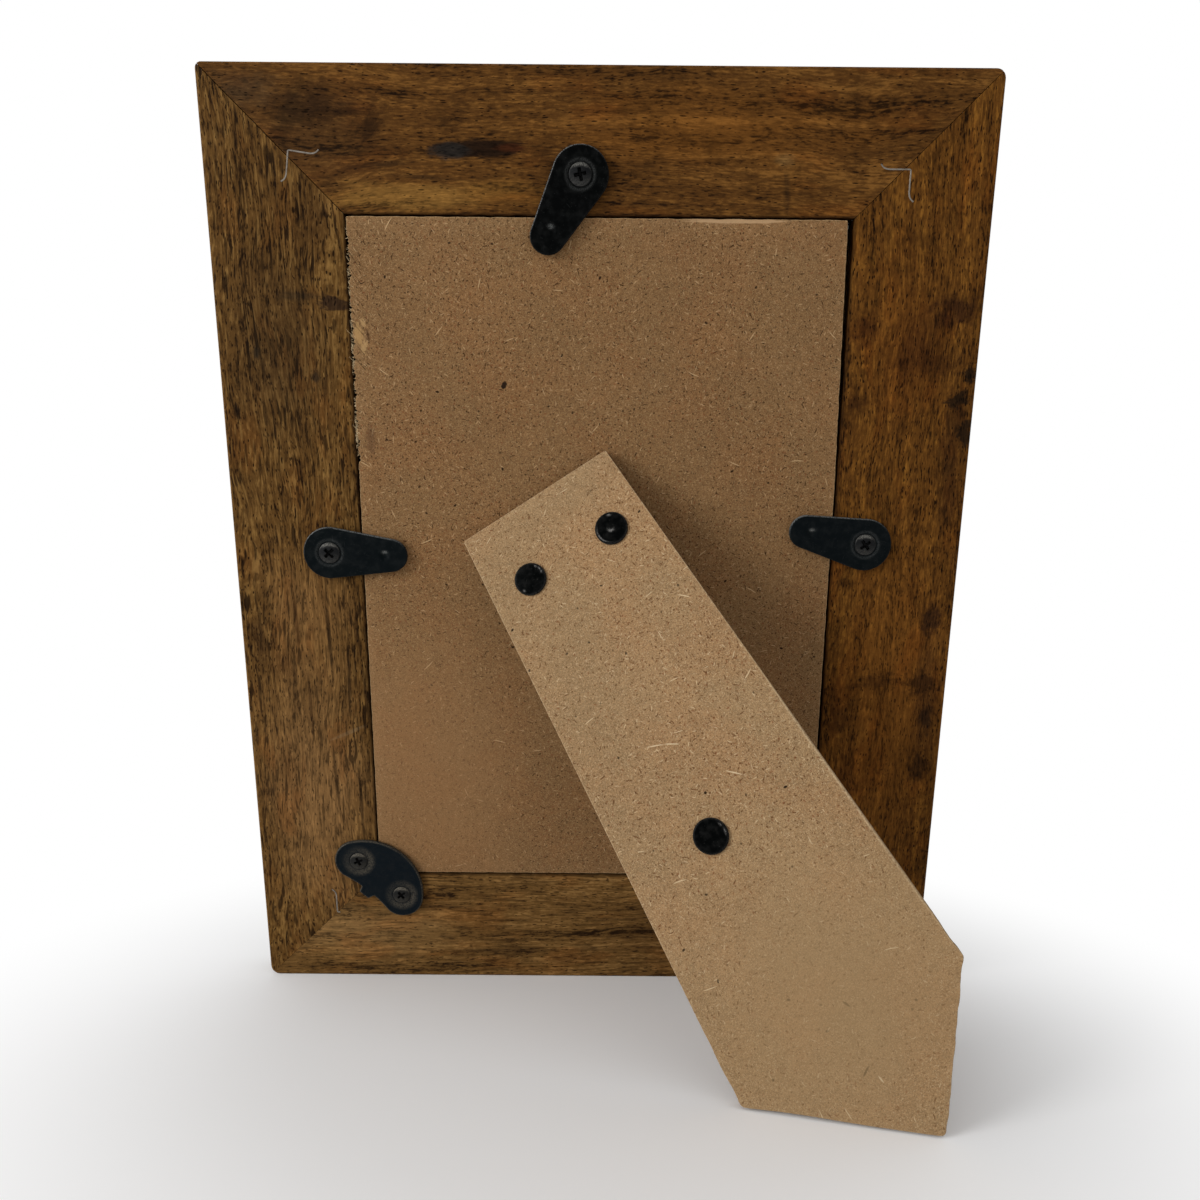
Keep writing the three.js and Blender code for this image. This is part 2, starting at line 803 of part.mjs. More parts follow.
function legBody(legFrame) {
  const heel = legHeel();
  const left = legShift - legTopWidth / 2;
  const right = legShift + legTopWidth / 2;
  const leftSide = sideLine(left, heel, -legLeftFlare);
  const rightSide = sideLine(right, heel, legRightFlare);
  const portrait = footLine(legFrame, new THREE.Vector3(0, -1, 0), frameHeight / 2);
  const landscapeGround = footLine(legFrame, new THREE.Vector3(1, 0, 0), frameWidth / 2);
  const landscape = turnedLine(landscapeGround, portrait, rightSide, landscapeCutTurn);
  const outline = roundedPolygon([
    corner(left, heel),
    meet(leftSide, portrait),
    meet(portrait, landscape),
    meet(landscape, rightSide),
    corner(right, heel),
  ], [
    legTopCornerRadius,
    legLeftFootRadius,
    legRightFootRadius,
    legSideCornerRadius,
    legTopCornerRadius,
  ]);
  const hole = rod(rivetShankRadius + rivetGap, legInner - overrun, legOuter + overrun);
  const sites = [
    [-legRivetSpacing / 2, -legRivetReach, 0],
    [legRivetSpacing / 2, -legRivetReach, 0],
    [stayRivetRight, -stayRivetReach, 0],
  ];
  return cut(slab(outline, legInner, legOuter), ...sites.map((site) => hole.translate(site)));
}

function addLeg() {
  const hinge = placed(hingeRight, hingeUp, hingeTurn, hingeHeight);
  hinge.name = "leg_hinge";
  const leg = new THREE.Group();
  leg.rotation.x = -degrees(legOpenAngle);
  hinge.add(leg);
  hinge.updateMatrix();
  leg.updateMatrix();
  const legFrame = hinge.matrix.clone().multiply(leg.matrix);

  piece("leg", legBody(legFrame), legFibreboard, leg);
  addHinge(hinge, leg);
  const leafInner = barrelRadius - hingeSheet - rivetGap;
  const headBottom = legOuter + rivetGap;
  const hingeRivet = rivetBody(leafInner, headBottom);
  const stayRivet = rivetBody(legInner - rivetGap, headBottom);
  const at = (x, y) => [x, y, 0];
  piece("leg_rivet_left", hingeRivet.translate(at(-legRivetSpacing / 2, -legRivetReach)), blackSteel, leg);
  piece("leg_rivet_right", hingeRivet.translate(at(legRivetSpacing / 2, -legRivetReach)), blackSteel, leg);
  piece("leg_rivet_middle", stayRivet.translate(at(stayRivetRight, -stayRivetReach)), blackSteel, leg);
}

addRails();
addStack();
addButtons();
addCornerPlates();
addNails();
addLeg();

// Stand the frame up: picture towards -Y, leaning back on the lower back edge
const lean = degrees(leanBack);
const standing = new THREE.Matrix4().makeBasis(
  new THREE.Vector3(-1, 0, 0),
  new THREE.Vector3(0, Math.sin(lean), Math.cos(lean)),
  new THREE.Vector3(0, Math.cos(lean), -Math.sin(lean)),
);
backPlane.quaternion.setFromRotationMatrix(standing);
backPlane.position.set(0, 0, 0);

// The origin is on the ground, in the middle of the space that the standing frame takes
frame.updateMatrixWorld(true);
const room = new THREE.Box3().setFromObject(frame, true);
backPlane.position.set(-(room.min.x + room.max.x) / 2, -(room.min.y + room.max.y) / 2, -room.min.z);

export default frame;
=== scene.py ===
# %% [markdown]
# This file dresses the back of a wooden picture frame that leans on a folding leg. The CAD model
# holds every size, so it comes in first and stays as it is. Each piece that is seen then gets a
# finer surface, worked out with numpy, and a finish that is worked out by shader nodes.
# Lengths are millimetres in the plane of the frame's back: u to the right and v up as seen from
# behind, w straight out of the back. Blender itself works in metres.

import json
import math
from collections import namedtuple

import bmesh
import bpy
import numpy as np
from mathutils import Matrix, Vector
from mathutils.geometry import convex_hull_2d


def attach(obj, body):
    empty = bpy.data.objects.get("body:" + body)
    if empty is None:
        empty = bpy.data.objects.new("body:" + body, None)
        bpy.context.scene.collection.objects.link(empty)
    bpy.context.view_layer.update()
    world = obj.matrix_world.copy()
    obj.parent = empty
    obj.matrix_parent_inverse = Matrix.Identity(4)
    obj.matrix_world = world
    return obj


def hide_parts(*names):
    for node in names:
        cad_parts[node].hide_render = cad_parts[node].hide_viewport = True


MM = 0.001
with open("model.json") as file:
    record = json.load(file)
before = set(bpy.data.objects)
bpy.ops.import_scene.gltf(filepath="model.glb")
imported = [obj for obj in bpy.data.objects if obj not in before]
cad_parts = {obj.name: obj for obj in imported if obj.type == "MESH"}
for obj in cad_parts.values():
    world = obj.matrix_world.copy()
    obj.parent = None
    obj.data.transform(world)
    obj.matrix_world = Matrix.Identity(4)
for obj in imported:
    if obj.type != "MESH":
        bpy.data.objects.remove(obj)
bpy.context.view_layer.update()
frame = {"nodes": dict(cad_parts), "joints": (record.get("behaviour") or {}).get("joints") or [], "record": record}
nodes = frame["nodes"]
body_holding = {n: b for b, held in frame["record"]["behaviour"]["bodies"].items() for n in held}

# %% [markdown]
# The frame leans back, so nothing on it is level in Blender's own axes. It is easier to draw
# each piece flat, in axes that lie in the back or in the leg, and to turn the finished points
# once. A small class keeps three directions and a centre, and turns points both ways. The same
# numbers go into a Mapping node, so that a pattern is drawn in millimetres on the same axes.


# %% Axes that lie in a piece
class Axes:
    """Three unit directions, as rows, and a centre in metres. A place in millimetres along them
    is a weighted sum of the rows, and the way back is a dot product with each row."""

    def __init__(self, right, up, out, centre):
        self.rows = np.stack([right, up, out])
        self.centre = np.array(centre, float)

    def to_world(self, points):
        return self.centre + np.asarray(points) @ self.rows * MM

    def to_local(self, points):
        return (np.asarray(points) - self.centre) @ self.rows.T / MM

    def mapping(self):
        """Location, rotation and scale of a Mapping node that does what to_local does."""
        rotation = Matrix(self.rows.tolist()).to_euler("XYZ")
        return -self.rows @ self.centre / MM, rotation, (1 / MM,) * 3


def vertices_of(*names):
    """The vertices of some CAD nodes, in metres, as rows of one array."""
    found = []
    for name in names:
        mesh = nodes[name].data
        flat = np.empty(3 * len(mesh.vertices), np.float32)
        mesh.vertices.foreach_get("co", flat)
        found.append(flat.reshape(-1, 3).astype(float))
    return np.vstack(found)


# %% The plane of the back
front_mount = next(m for m in frame["record"]["mounts"] if m["name"] == "front_face")
out_of_back = -np.array(front_mount["axis"])
to_the_right = np.array([-1.0, 0.0, 0.0])
up_the_back = np.cross(out_of_back, to_the_right)
back = Axes(to_the_right, up_the_back, out_of_back, (0, 0, 0))
rails_local = back.to_local(vertices_of("top_rail", "bottom_rail", "left_rail", "right_rail"))
low, high = rails_local.min(0), rails_local.max(0)
back.centre = back.to_world([(low[0] + high[0]) / 2, (low[1] + high[1]) / 2, high[2]])
FRAME_WIDTH, FRAME_HEIGHT, RAIL_DEPTH = high - low
print(f"frame {FRAME_WIDTH:.1f} x {FRAME_HEIGHT:.1f} x {RAIL_DEPTH:.1f} mm")


def box_in(axes, *names):
    """Lowest and highest corner of some CAD nodes along the given axes, in millimetres."""
    points = axes.to_local(vertices_of(*names))
    return points.min(0), points.max(0)


def middle_in(axes, name):
    lowest, highest = box_in(axes, name)
    return (lowest + highest) / 2


# %% The axes of the leg
fold = next(j for j in frame["joints"] if j["name"] == "leg_fold")
LEG_ANGLE = math.radians(fold["range_deg"][1])
pin = np.array(fold["axis"])
up_the_hinge = np.cross(out_of_back, pin)
leg_up = math.cos(LEG_ANGLE) * up_the_hinge - math.sin(LEG_ANGLE) * out_of_back
leg_out = math.sin(LEG_ANGLE) * up_the_hinge + math.cos(LEG_ANGLE) * out_of_back
leg_axes = Axes(pin, leg_up, leg_out, fold["pos_m"])
leg_low, leg_high = box_in(leg_axes, "leg")
print(f"leg from {leg_low.round(2)} to {leg_high.round(2)} mm along its own axes")

# %% [markdown]
# Every new surface is a grid of points: rows by columns, each point worked out from its row and
# column. A tube closes on itself one way, a ring both ways. One function turns such grids into
# one closed mesh. It fills open ends with a flat face, welds points that fall together, turns
# the faces outwards and marks the edges that stay sharp.

# %% Grids of points to meshes
Grid = namedtuple("Grid", "points ring_rows ring_columns capped values",
                  defaults=(False, True, True, {}))


def grid_faces(rows, columns, ring_rows, ring_columns):
    """Corner numbers of the four-sided faces between each point and its next neighbours."""
    i = np.arange(rows if ring_rows else rows - 1)
    j = np.arange(columns if ring_columns else columns - 1)
    i, j = (a.ravel() for a in np.meshgrid(i, j, indexing="ij"))
    down, across = (i + 1) % rows, (j + 1) % columns
    return np.stack([i * columns + j, i * columns + across, down * columns + across,
                     down * columns + j], -1)


def weld(mesh, distance=1e-7):
    """Merges points that fall together, drops faces that vanish and turns the rest outwards."""
    work = bmesh.new()
    work.from_mesh(mesh)
    bmesh.ops.remove_doubles(work, verts=work.verts, dist=distance)
    bmesh.ops.recalc_face_normals(work, faces=work.faces)
    work.to_mesh(mesh)
    work.free()


def shade(mesh, angle):
    """Smooth shading, with a sharp edge where two faces meet at more than the angle."""
    mesh.shade_smooth()
    mesh.set_sharp_from_angle(angle=math.radians(angle))


def mesh_of(name, axes, grids, angle):
    """One closed mesh from grids of points in millimetres along the axes. A grid's named values
    become point attributes, which the finish can read. Edges over the angle stay sharp."""
    points, faces, start = [], [], 0
    named = sorted({key for grid in grids for key in grid.values})
    values = {key: [] for key in named}
    for grid in grids:
        rows, columns = grid.points.shape[:2]
        faces += (grid_faces(rows, columns, grid.ring_rows, grid.ring_columns) + start).tolist()
        if grid.capped:
            faces.append(list(range(start, start + columns)))
            faces.append(list(range(start + (rows - 1) * columns, start + rows * columns)))
        for key in named:
            given = np.asarray(grid.values.get(key, 0.0))
            values[key].append(np.broadcast_to(given, (rows, columns)).ravel())
        points.append(grid.points.reshape(-1, 3))
        start += rows * columns
    mesh = bpy.data.meshes.new(name)
    mesh.from_pydata(axes.to_world(np.vstack(points)).tolist(), [], faces)
    for key in named:
        made = mesh.attributes.new(key, "FLOAT", "POINT")
        made.data.foreach_set("value", np.concatenate(values[key]).astype(np.float32))
    weld(mesh)
    shade(mesh, angle)
    return mesh


# %% Put a mesh in the scene
def new_object(name, data):
    """An object in the scene that holds a mesh, a lamp or a camera."""
    made = bpy.data.objects.new(name, data)
    bpy.context.scene.collection.objects.link(made)
    return made


def add_piece(name, mesh, material, stands_for, body=None):
    """The piece rides the body of the CAD nodes that it stands for."""
    piece = new_object(name, mesh)
    mesh.materials.append(material)
    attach(piece, body or body_holding[stands_for[0]])
    if stands_for:
        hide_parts(*stands_for)
    print(f"{name}: {len(mesh.polygons)} faces")
    return piece


def add_grids(node, finish, axes, grids, material, angle=40):
    """Welds the grids into the piece that replaces one CAD node, named after its finish."""
    name = f"{node}_{finish}"
    return add_piece(name, mesh_of(name, axes, grids, angle), material, [node])


# %% Small shapes that several pieces share
def turned_to(grid, turn, at):
    """The grid turned about w by an angle in radians and moved to a place in the plane."""
    c, s = math.cos(turn), math.sin(turn)
    spun = grid.points @ np.array([[c, s, 0], [-s, c, 0], [0, 0, 1]])
    return grid._replace(points=spun + [at[0], at[1], 0])


def wander(distance, wavelength, size, seed):
    """Smooth random offsets along a line: sine waves of nearly the given wavelength, each with a
    random start, added up and scaled to about the given size."""
    rng = np.random.default_rng(seed)
    waves = 2 * np.pi / (wavelength * rng.uniform(0.6, 1.9, 7))
    starts = rng.uniform(0, 2 * np.pi, 7)
    return size * np.sin(np.multiply.outer(distance, waves) + starts).sum(-1) / 2.6


def arc(centre, radius, start, end, count):
    """Points on a circle: centre plus radius times the cosine and sine of even angles."""
    angle = np.radians(np.linspace(start, end, count))
    return np.stack([centre[0] + radius * np.cos(angle), centre[1] + radius * np.sin(angle)], -1)


def curve(start, pull, end, count):
    """A quadratic curve: the three points weighted by (1-t)^2, 2t(1-t) and t^2."""
    t = np.linspace(0, 1, count)[:, None]
    return (1 - t) ** 2 * np.array(start) + 2 * t * (1 - t) * np.array(pull) + t * t * np.array(end)


def even_steps(path, step):
    """The same closed line with points at even steps: each coordinate interpolated over the
    length along the line."""
    line = np.vstack([path, path[:1]])
    lengths = np.r_[0, np.cumsum(np.linalg.norm(np.diff(line, axis=0), axis=1))]
    count = max(int(round(lengths[-1] / step)), 3)
    at = np.linspace(0, lengths[-1], count + 1)
    points = np.stack([np.interp(at, lengths, line[:, k]) for k in range(line.shape[1])], -1)
    return points[:-1]


def cut_corners(path, rounds):
    """An open line made rounder: each round puts points a quarter in from both ends of each
    stretch and drops the corner between them. The two ends stay."""
    path = np.asarray(path, float)
    for _ in range(rounds):
        near = 0.75 * path[:-1] + 0.25 * path[1:]
        far = 0.25 * path[:-1] + 0.75 * path[1:]
        between = np.stack([near, far], 1).reshape(-1, path.shape[1])
        path = np.vstack([path[:1], between[1:-1], path[-1:]])
    return path


def sides_of(path, closed=True):
    """The unit direction to the left of a line at each point, from its two neighbours."""
    if closed:
        run = np.roll(path, -1, 0) - np.roll(path, 1, 0)
    else:
        run = np.gradient(path, axis=0)
    run = run / np.linalg.norm(run, axis=1, keepdims=True)
    return np.stack([-run[:, 1], run[:, 0]], -1)


def lifted(flat, height):
    """Flat points, each with its own height, as points in space."""
    return np.concatenate([flat, height[..., None]], -1)


def crowded_ends(count):
    """Shares from 0 to 1 that lie closer together at both ends."""
    share = (1 - np.cos(np.linspace(0, np.pi, count))) / 2
    return 0.5 * share + 0.5 * np.linspace(0, 1, count)


def rise(x, start, end):
    """A smooth step from 0 at start to 1 at end: 3t^2 - 2t^3."""
    t = np.clip((x - start) / (end - start), 0, 1)
    return t * t * (3 - 2 * t)


# %% [markdown]
# Shader nodes take many lines to write out one by one. A small class adds a node, sets or links
# its inputs and gives back its output, so that a finish reads as a list of steps. A number that
# is the same all over the surface is set on the shader itself.


# %% Short ways to write shader nodes
class Graph:
    """Adds nodes to one tree. Each call gives back the new node's output socket."""

    def __init__(self, tree):
        self.tree = tree

    def feed(self, socket, value):
        if isinstance(value, bpy.types.NodeSocket):
            self.tree.links.new(value, socket)
        else:
            socket.default_value = value

    def feed_all(self, sockets, **values):
        """Feeds sockets by their names, in which an underscore stands for a space."""
        for key, value in values.items():
            self.feed(sockets[key.replace("_", " ")], value)

    def add(self, kind, inputs, output=0, **settings):
        made = self.tree.nodes.new(kind)
        for key, value in settings.items():
            setattr(made, key, value)
        for key, value in inputs.items():
            self.feed(made.inputs[key], value)
        return made.outputs[output]

    def math(self, operation, *values):
        return self.add("ShaderNodeMath", dict(enumerate(values)), operation=operation)

    def times(self, *values):
        """All the values multiplied together, in their order."""
        product = values[0]
        for value in values[1:]:
            product = self.math("MULTIPLY", product, value)
        return product

    def weighted(self, start, *parts):
        """The start plus each part times its weight."""
        for part, weight in parts:
            start = self.math("MULTIPLY_ADD", part, weight, start)
        return start

    def vector(self, operation, *values):
        output = "Value" if operation == "LENGTH" else "Vector"
        return self.add("ShaderNodeVectorMath", dict(enumerate(values)), output,
                        operation=operation)

    def split(self, vector):
        made = self.tree.nodes.new("ShaderNodeSeparateXYZ")
        self.feed(made.inputs[0], vector)
        return list(made.outputs)

    def join(self, x, y, z=0.0):
        return self.add("ShaderNodeCombineXYZ", {0: x, 1: y, 2: z})

    def mix(self, factor, first, second, how="MIX"):
        return self.add("ShaderNodeMix", {0: factor, 6: first, 7: second}, 2, data_type="RGBA",
                        blend_type=how)

    def smooth(self, value, start, end, low=0.0, high=1.0):
        return self.add("ShaderNodeMapRange", {0: value, 1: start, 2: end, 3: low, 4: high},
                        interpolation_type="SMOOTHSTEP")

    def noise(self, vector, scale, detail, roughness=0.5, distortion=0.0):
        inputs = {"Vector": vector, "Scale": scale, "Detail": detail, "Roughness": roughness,
                  "Distortion": distortion}
        return self.add("ShaderNodeTexNoise", inputs)

    def stretched(self, vector, along, across, detail=2.0, roughness=0.5):
        """Noise with one scale along x and another across it."""
        squeezed = self.vector("MULTIPLY", vector, (along, across, across))
        return self.noise(squeezed, 1.0, detail, roughness)

    def cells(self, vector, scale, dimensions="3D"):
        made = self.tree.nodes.new("ShaderNodeTexVoronoi")
        made.voronoi_dimensions = dimensions
        self.feed(made.inputs["Vector"], vector)
        self.feed(made.inputs["Scale"], scale)
        return made.outputs

    def group(self, group, inputs):
        made = self.tree.nodes.new("ShaderNodeGroup")
        made.node_tree = group
        for key, value in inputs.items():
            self.feed(made.inputs[key], value)
        return made.outputs

    def place(self, axes):
        """Object coordinates turned into millimetres along the axes."""
        location, rotation, scale = axes.mapping()
        start = self.add("ShaderNodeTexCoord", {}, "Object")
        return self.add("ShaderNodeMapping", {"Vector": start, "Location": location,
                                              "Rotation": rotation, "Scale": scale})

    def turned(self, vector, turn, shift):
        rotation = (0, 0, math.radians(turn))
        return self.add("ShaderNodeMapping", {"Vector": vector, "Location": shift,
                                              "Rotation": rotation})

    def attribute(self, name):
        return self.add("ShaderNodeAttribute", {}, "Fac", attribute_name=name)

    def bump(self, height, strength=1.0):
        """Height is in millimetres."""
        return self.add("ShaderNodeBump", {"Height": height, "Distance": MM, "Strength": strength})


def tone(red, green, blue):
    """A colour given as it looks on a screen, 0 to 255, as the light amounts that nodes use."""
    share = np.array([red, green, blue]) / 255
    linear = np.where(share <= 0.04045, share / 12.92, ((share + 0.055) / 1.055) ** 2.4)
    return (*linear.tolist(), 1.0)


def new_group(name, inputs, outputs):
    """A node group with named sockets. Gives the group, a graph to fill it, its inputs, and a
    function that links a result to an output."""
    tree = bpy.data.node_groups.new(name, "ShaderNodeTree")
    kinds = {"vector": "NodeSocketVector", "value": "NodeSocketFloat", "color": "NodeSocketColor"}
    for label, (kind, default) in inputs.items():
        socket = tree.interface.new_socket(name=label, in_out="INPUT", socket_type=kinds[kind])
        socket.default_value = default
    for label, kind in outputs.items():
        tree.interface.new_socket(name=label, in_out="OUTPUT", socket_type=kinds[kind])
    given = tree.nodes.new("NodeGroupInput").outputs
    result = tree.nodes.new("NodeGroupOutput").inputs
    graph = Graph(tree)
    return tree, graph, given, lambda label, value: graph.feed(result[label], value)


def new_material(name, **settings):
    """A material, its graph and its shader. The settings are the shader's own plain values."""
    made = bpy.data.materials.new(name)
    made.use_nodes = True
    shader = made.node_tree.nodes["Principled BSDF"].inputs
    graph = Graph(made.node_tree)
    graph.feed_all(shader, **settings)
    return made, graph, shader


# %% [markdown]
# Wood, fibreboard and paint all show small flecks: pores, chips, fibres, specks. A Voronoi
# texture scatters one point in each cell, and says where it is. The distance from that point,
# turned by a random angle, gives each fleck its own small pair of axes, in which a bent ellipse
# is drawn. A second group draws one single spot at a given place, for marks that the real piece
# has where it has them.


# %% Scattered flecks
def make_flecks():
    tree, g, given, result = new_group(
        "scattered_flecks",
        {"Vector": ("vector", (0, 0, 0)), "Cells": ("value", 0.5), "Length": ("value", 1.0),
         "Width": ("value", 0.3), "Bend": ("value", 0.0), "Share": ("value", 0.5)},
        {"Mask": "value", "Chance": "value"})
    x, y, _ = g.split(given["Vector"])
    flat = g.join(x, y)
    cell = g.cells(flat, given["Cells"], "2D")
    chance_a, chance_b, chance_c = g.split(cell["Color"])
    away = g.vector("SUBTRACT", flat, cell["Position"])
    angle = g.times(chance_a, 2 * math.pi)
    own = g.add("ShaderNodeVectorRotate", {"Vector": away, "Angle": angle}, rotation_type="Z_AXIS")
    x, y, _ = g.split(own)
    size = g.math("MULTIPLY_ADD", chance_b, 0.9, 0.4)
    half_length = g.times(given["Length"], 0.5, size)
    half_width = g.times(given["Width"], 0.5)
    bend = g.times(given["Bend"], g.math("SUBTRACT", chance_b, 0.5))
    bent = g.math("SUBTRACT", y, g.times(bend, g.times(x, x)))
    reach = g.vector("LENGTH", g.join(g.math("DIVIDE", x, half_length),
                                      g.math("DIVIDE", bent, half_width)))
    there = g.math("LESS_THAN", chance_c, given["Share"])
    result("Mask", g.times(g.smooth(reach, 1.0, 0.55), there))
    result("Chance", chance_b)
    return tree


# %% One spot at a given place
def make_spot():
    tree, g, given, result = new_group(
        "soft_spot",
        {"Vector": ("vector", (0, 0, 0)), "Centre": ("vector", (0, 0, 0)),
         "Half size": ("vector", (1, 1, 1)), "Turn": ("value", 0.0), "Softness": ("value", 0.5),
         "Ragged": ("value", 0.0), "Grain": ("value", 1.8)},
        {"Mask": "value"})
    away = g.vector("SUBTRACT", given["Vector"], given["Centre"])
    turned = g.add("ShaderNodeVectorRotate", {"Vector": away, "Angle": given["Turn"]},
                   rotation_type="Z_AXIS")
    share = g.vector("DIVIDE", turned, given["Half size"])
    reach = g.vector("LENGTH", share)
    rough = g.noise(g.vector("ADD", share, given["Centre"]), given["Grain"], 6.0, 0.7)
    rough = g.times(g.math("SUBTRACT", rough, 0.5), given["Ragged"])
    inner = g.math("SUBTRACT", 1.0, given["Softness"])
    result("Mask", g.smooth(g.math("ADD", reach, rough), 1.0, inner))
    return tree


FLECKS = make_flecks()
SPOT = make_spot()
print("node groups:", FLECKS.name, SPOT.name)

# A mark's place and half size are in millimetres, its turn in degrees, its colour as on a screen
Mark = namedtuple("Mark", "at size turn softness ragged color strength")
SKIN_DEEP, ALL_THROUGH = 6.0, 60.0
TONE_SHARES = (1.6, 1.0, 0.32)


def mark_mask(g, plane, mark, depth):
    """Where a mark is: a ragged ellipse on the back. The border is rough in the ellipse's own
    axes, so a long mark gets long ragged ends."""
    mask = g.group(SPOT, {
        "Vector": plane, "Centre": (*mark.at, 0), "Half size": (*mark.size, depth),
        "Turn": -math.radians(mark.turn), "Softness": mark.softness,
        "Ragged": 2 * mark.ragged})["Mask"]
    return g.times(mask, mark.strength)


def paint_marks(g, plane, color, marks):
    """Mixes each mark's colour over the ground colour, all through the board's thickness."""
    for mark in marks:
        color = g.mix(mark_mask(g, plane, mark, ALL_THROUGH), color, tone(*mark.color))
    return color


def mark_tones(g, plane, tones, marks):
    """Mixes each mark's colour into a light, a middle and a dark tone, made lighter or darker to
    suit, so that a pattern which is drawn with the three tones runs on through the mark."""
    for mark in marks:
        mask = mark_mask(g, plane, mark, SKIN_DEEP)
        own = [(*(share * x for x in tone(*mark.color)[:3]), 1.0) for share in TONE_SHARES]
        tones = [g.mix(mask, tone_so_far, tint) for tone_so_far, tint in zip(tones, own)]
    return tones


# %% [markdown]
# The rails are a coarse brown wood under a dark, uneven stain. What shows is long figure along
# the grain, fine fibres, short dark pores and soft blotches. Each is a noise texture whose
# coordinates are squeezed along the grain, and a slow drift bends them all together. Pores are
# stretched Voronoi cells, so that they show as dashes on the faces and as dots on the end grain.


# %% Stained wood
def make_wood():
    tree, g, given, result = new_group(
        "stained_wood",
        {"Grain": ("vector", (0, 0, 0)), "Light": ("color", (1, 1, 1, 1)),
         "Middle": ("color", (0.5, 0.5, 0.5, 1)), "Dark": ("color", (0, 0, 0, 1)),
         "Figure": ("value", 1.0), "Blotch": ("value", 1.0), "Pores": ("value", 1.0),
         "Dashes": ("value", 1.0), "Dash length": ("value", 2.6)},
        {"Color": "color", "Height": "value", "Pore": "value"})
    slow = g.stretched(given["Grain"], 0.012, 0.03)
    quick = g.stretched(given["Grain"], 0.07, 0.16)
    drift = g.math("ADD", g.times(slow, 12.0), g.times(quick, 1.1))
    grain = g.vector("ADD", given["Grain"], g.join(0.0, drift, 0.0))

    def along(length, width, detail, roughness=0.55):
        """Noise of about this length and width in millimetres, going from below 0 to above it."""
        return g.math("SUBTRACT", g.stretched(grain, 1 / length, 1 / width, detail, roughness), 0.5)

    def dashes_of(width, shift):
        """Noise as long as the dashes, at the given width."""
        per_length = g.math("DIVIDE", 1.0, given["Dash length"])
        stretched = g.vector("MULTIPLY", grain, g.join(per_length, 1 / width, 1 / width))
        return g.noise(g.vector("ADD", stretched, (shift, shift, 0)), 1.0, 1.0, 0.4)

    figure = g.times(along(60, 4.5, 4.0), given["Figure"])
    streaks = along(16, 1.1, 3.0, 0.6)
    fibres = along(2.4, 0.45, 2.0)
    mottle = along(2.6, 1.5, 4.0, 0.7)
    level = g.weighted(0.5, (figure, 1.2), (streaks, 0.75), (fibres, 1.2), (mottle, 1.0))
    lighter = g.smooth(level, 0.5, 1.0)
    darker = g.smooth(level, 0.5, 0.02)
    color = g.mix(lighter, given["Middle"], given["Light"])
    color = g.mix(darker, color, given["Dark"])
    reddish = g.smooth(g.stretched(grain, 0.05, 0.13, 3.0), 0.5, 0.7)
    color = g.mix(g.times(reddish, 0.6), color, (1.10, 0.90, 0.76, 1), "MULTIPLY")
    patches = g.smooth(along(13, 9, 6.0, 0.72), 0.0, 0.24)
    patches = g.times(patches, given["Blotch"], 0.62)
    color = g.mix(patches, color, g.mix(0.35, given["Dark"], given["Middle"]))
    crowded = g.smooth(g.stretched(grain, 0.07, 0.16, 3.0, 0.6), 0.3, 0.65, 0.25, 1.0)
    pale = g.smooth(dashes_of(0.7, 40.0), 0.56, 0.70)
    pale = g.times(pale, given["Dashes"], 0.6)
    color = g.mix(pale, color, given["Light"])
    dashes = g.smooth(dashes_of(0.82, 0.0), 0.56, 0.64)
    off_line = g.math("ABSOLUTE", along(11, 1.7, 1.0))
    broken = g.smooth(g.stretched(grain, 0.22, 0.9), 0.48, 0.58)
    cracks = g.times(g.smooth(off_line, 0.020, 0.004), broken)
    dashes = g.math("MAXIMUM", dashes, cracks)
    dashes = g.times(dashes, given["Dashes"], crowded)
    color = g.mix(g.times(dashes, 0.92), color, given["Dark"])

    crowding = g.stretched(grain, 0.03, 0.12)
    long_pores = g.cells(g.vector("MULTIPLY", grain, (0.32, 1.6, 1.6)), 1.0)
    short_pores = g.cells(g.vector("MULTIPLY", grain, (0.65, 2.1, 2.1)), 1.0)
    pore = 0.0
    for cell, width, share in ((long_pores, 0.33, 0.85), (short_pores, 0.36, 0.75)):
        chance, other, _ = g.split(cell["Color"])
        size = g.math("MULTIPLY_ADD", other, 0.5 * width, 0.6 * width)
        spot = g.smooth(cell["Distance"], size, g.times(size, 0.55))
        wanted = g.times(crowding, 2 * share)
        there = g.math("LESS_THAN", chance, g.times(wanted, given["Pores"]))
        pore = g.math("MAXIMUM", g.times(spot, there), pore)
    color = g.mix(g.times(pore, 0.95), color, given["Dark"])
    result("Color", color)
    result("Height", g.weighted(g.times(streaks, 0.10), (pore, -0.09), (dashes, -0.04),
                                (fibres, 0.07)))
    result("Pore", pore)
    return tree


WOOD = make_wood()


RUBBED_IN = (0.9, 0.1)
RUBBED_DOWN = (-1.4, -0.5)
WALL_SHADE_FROM = (34.2, 34.9)
WALL_SHADE = 0.65


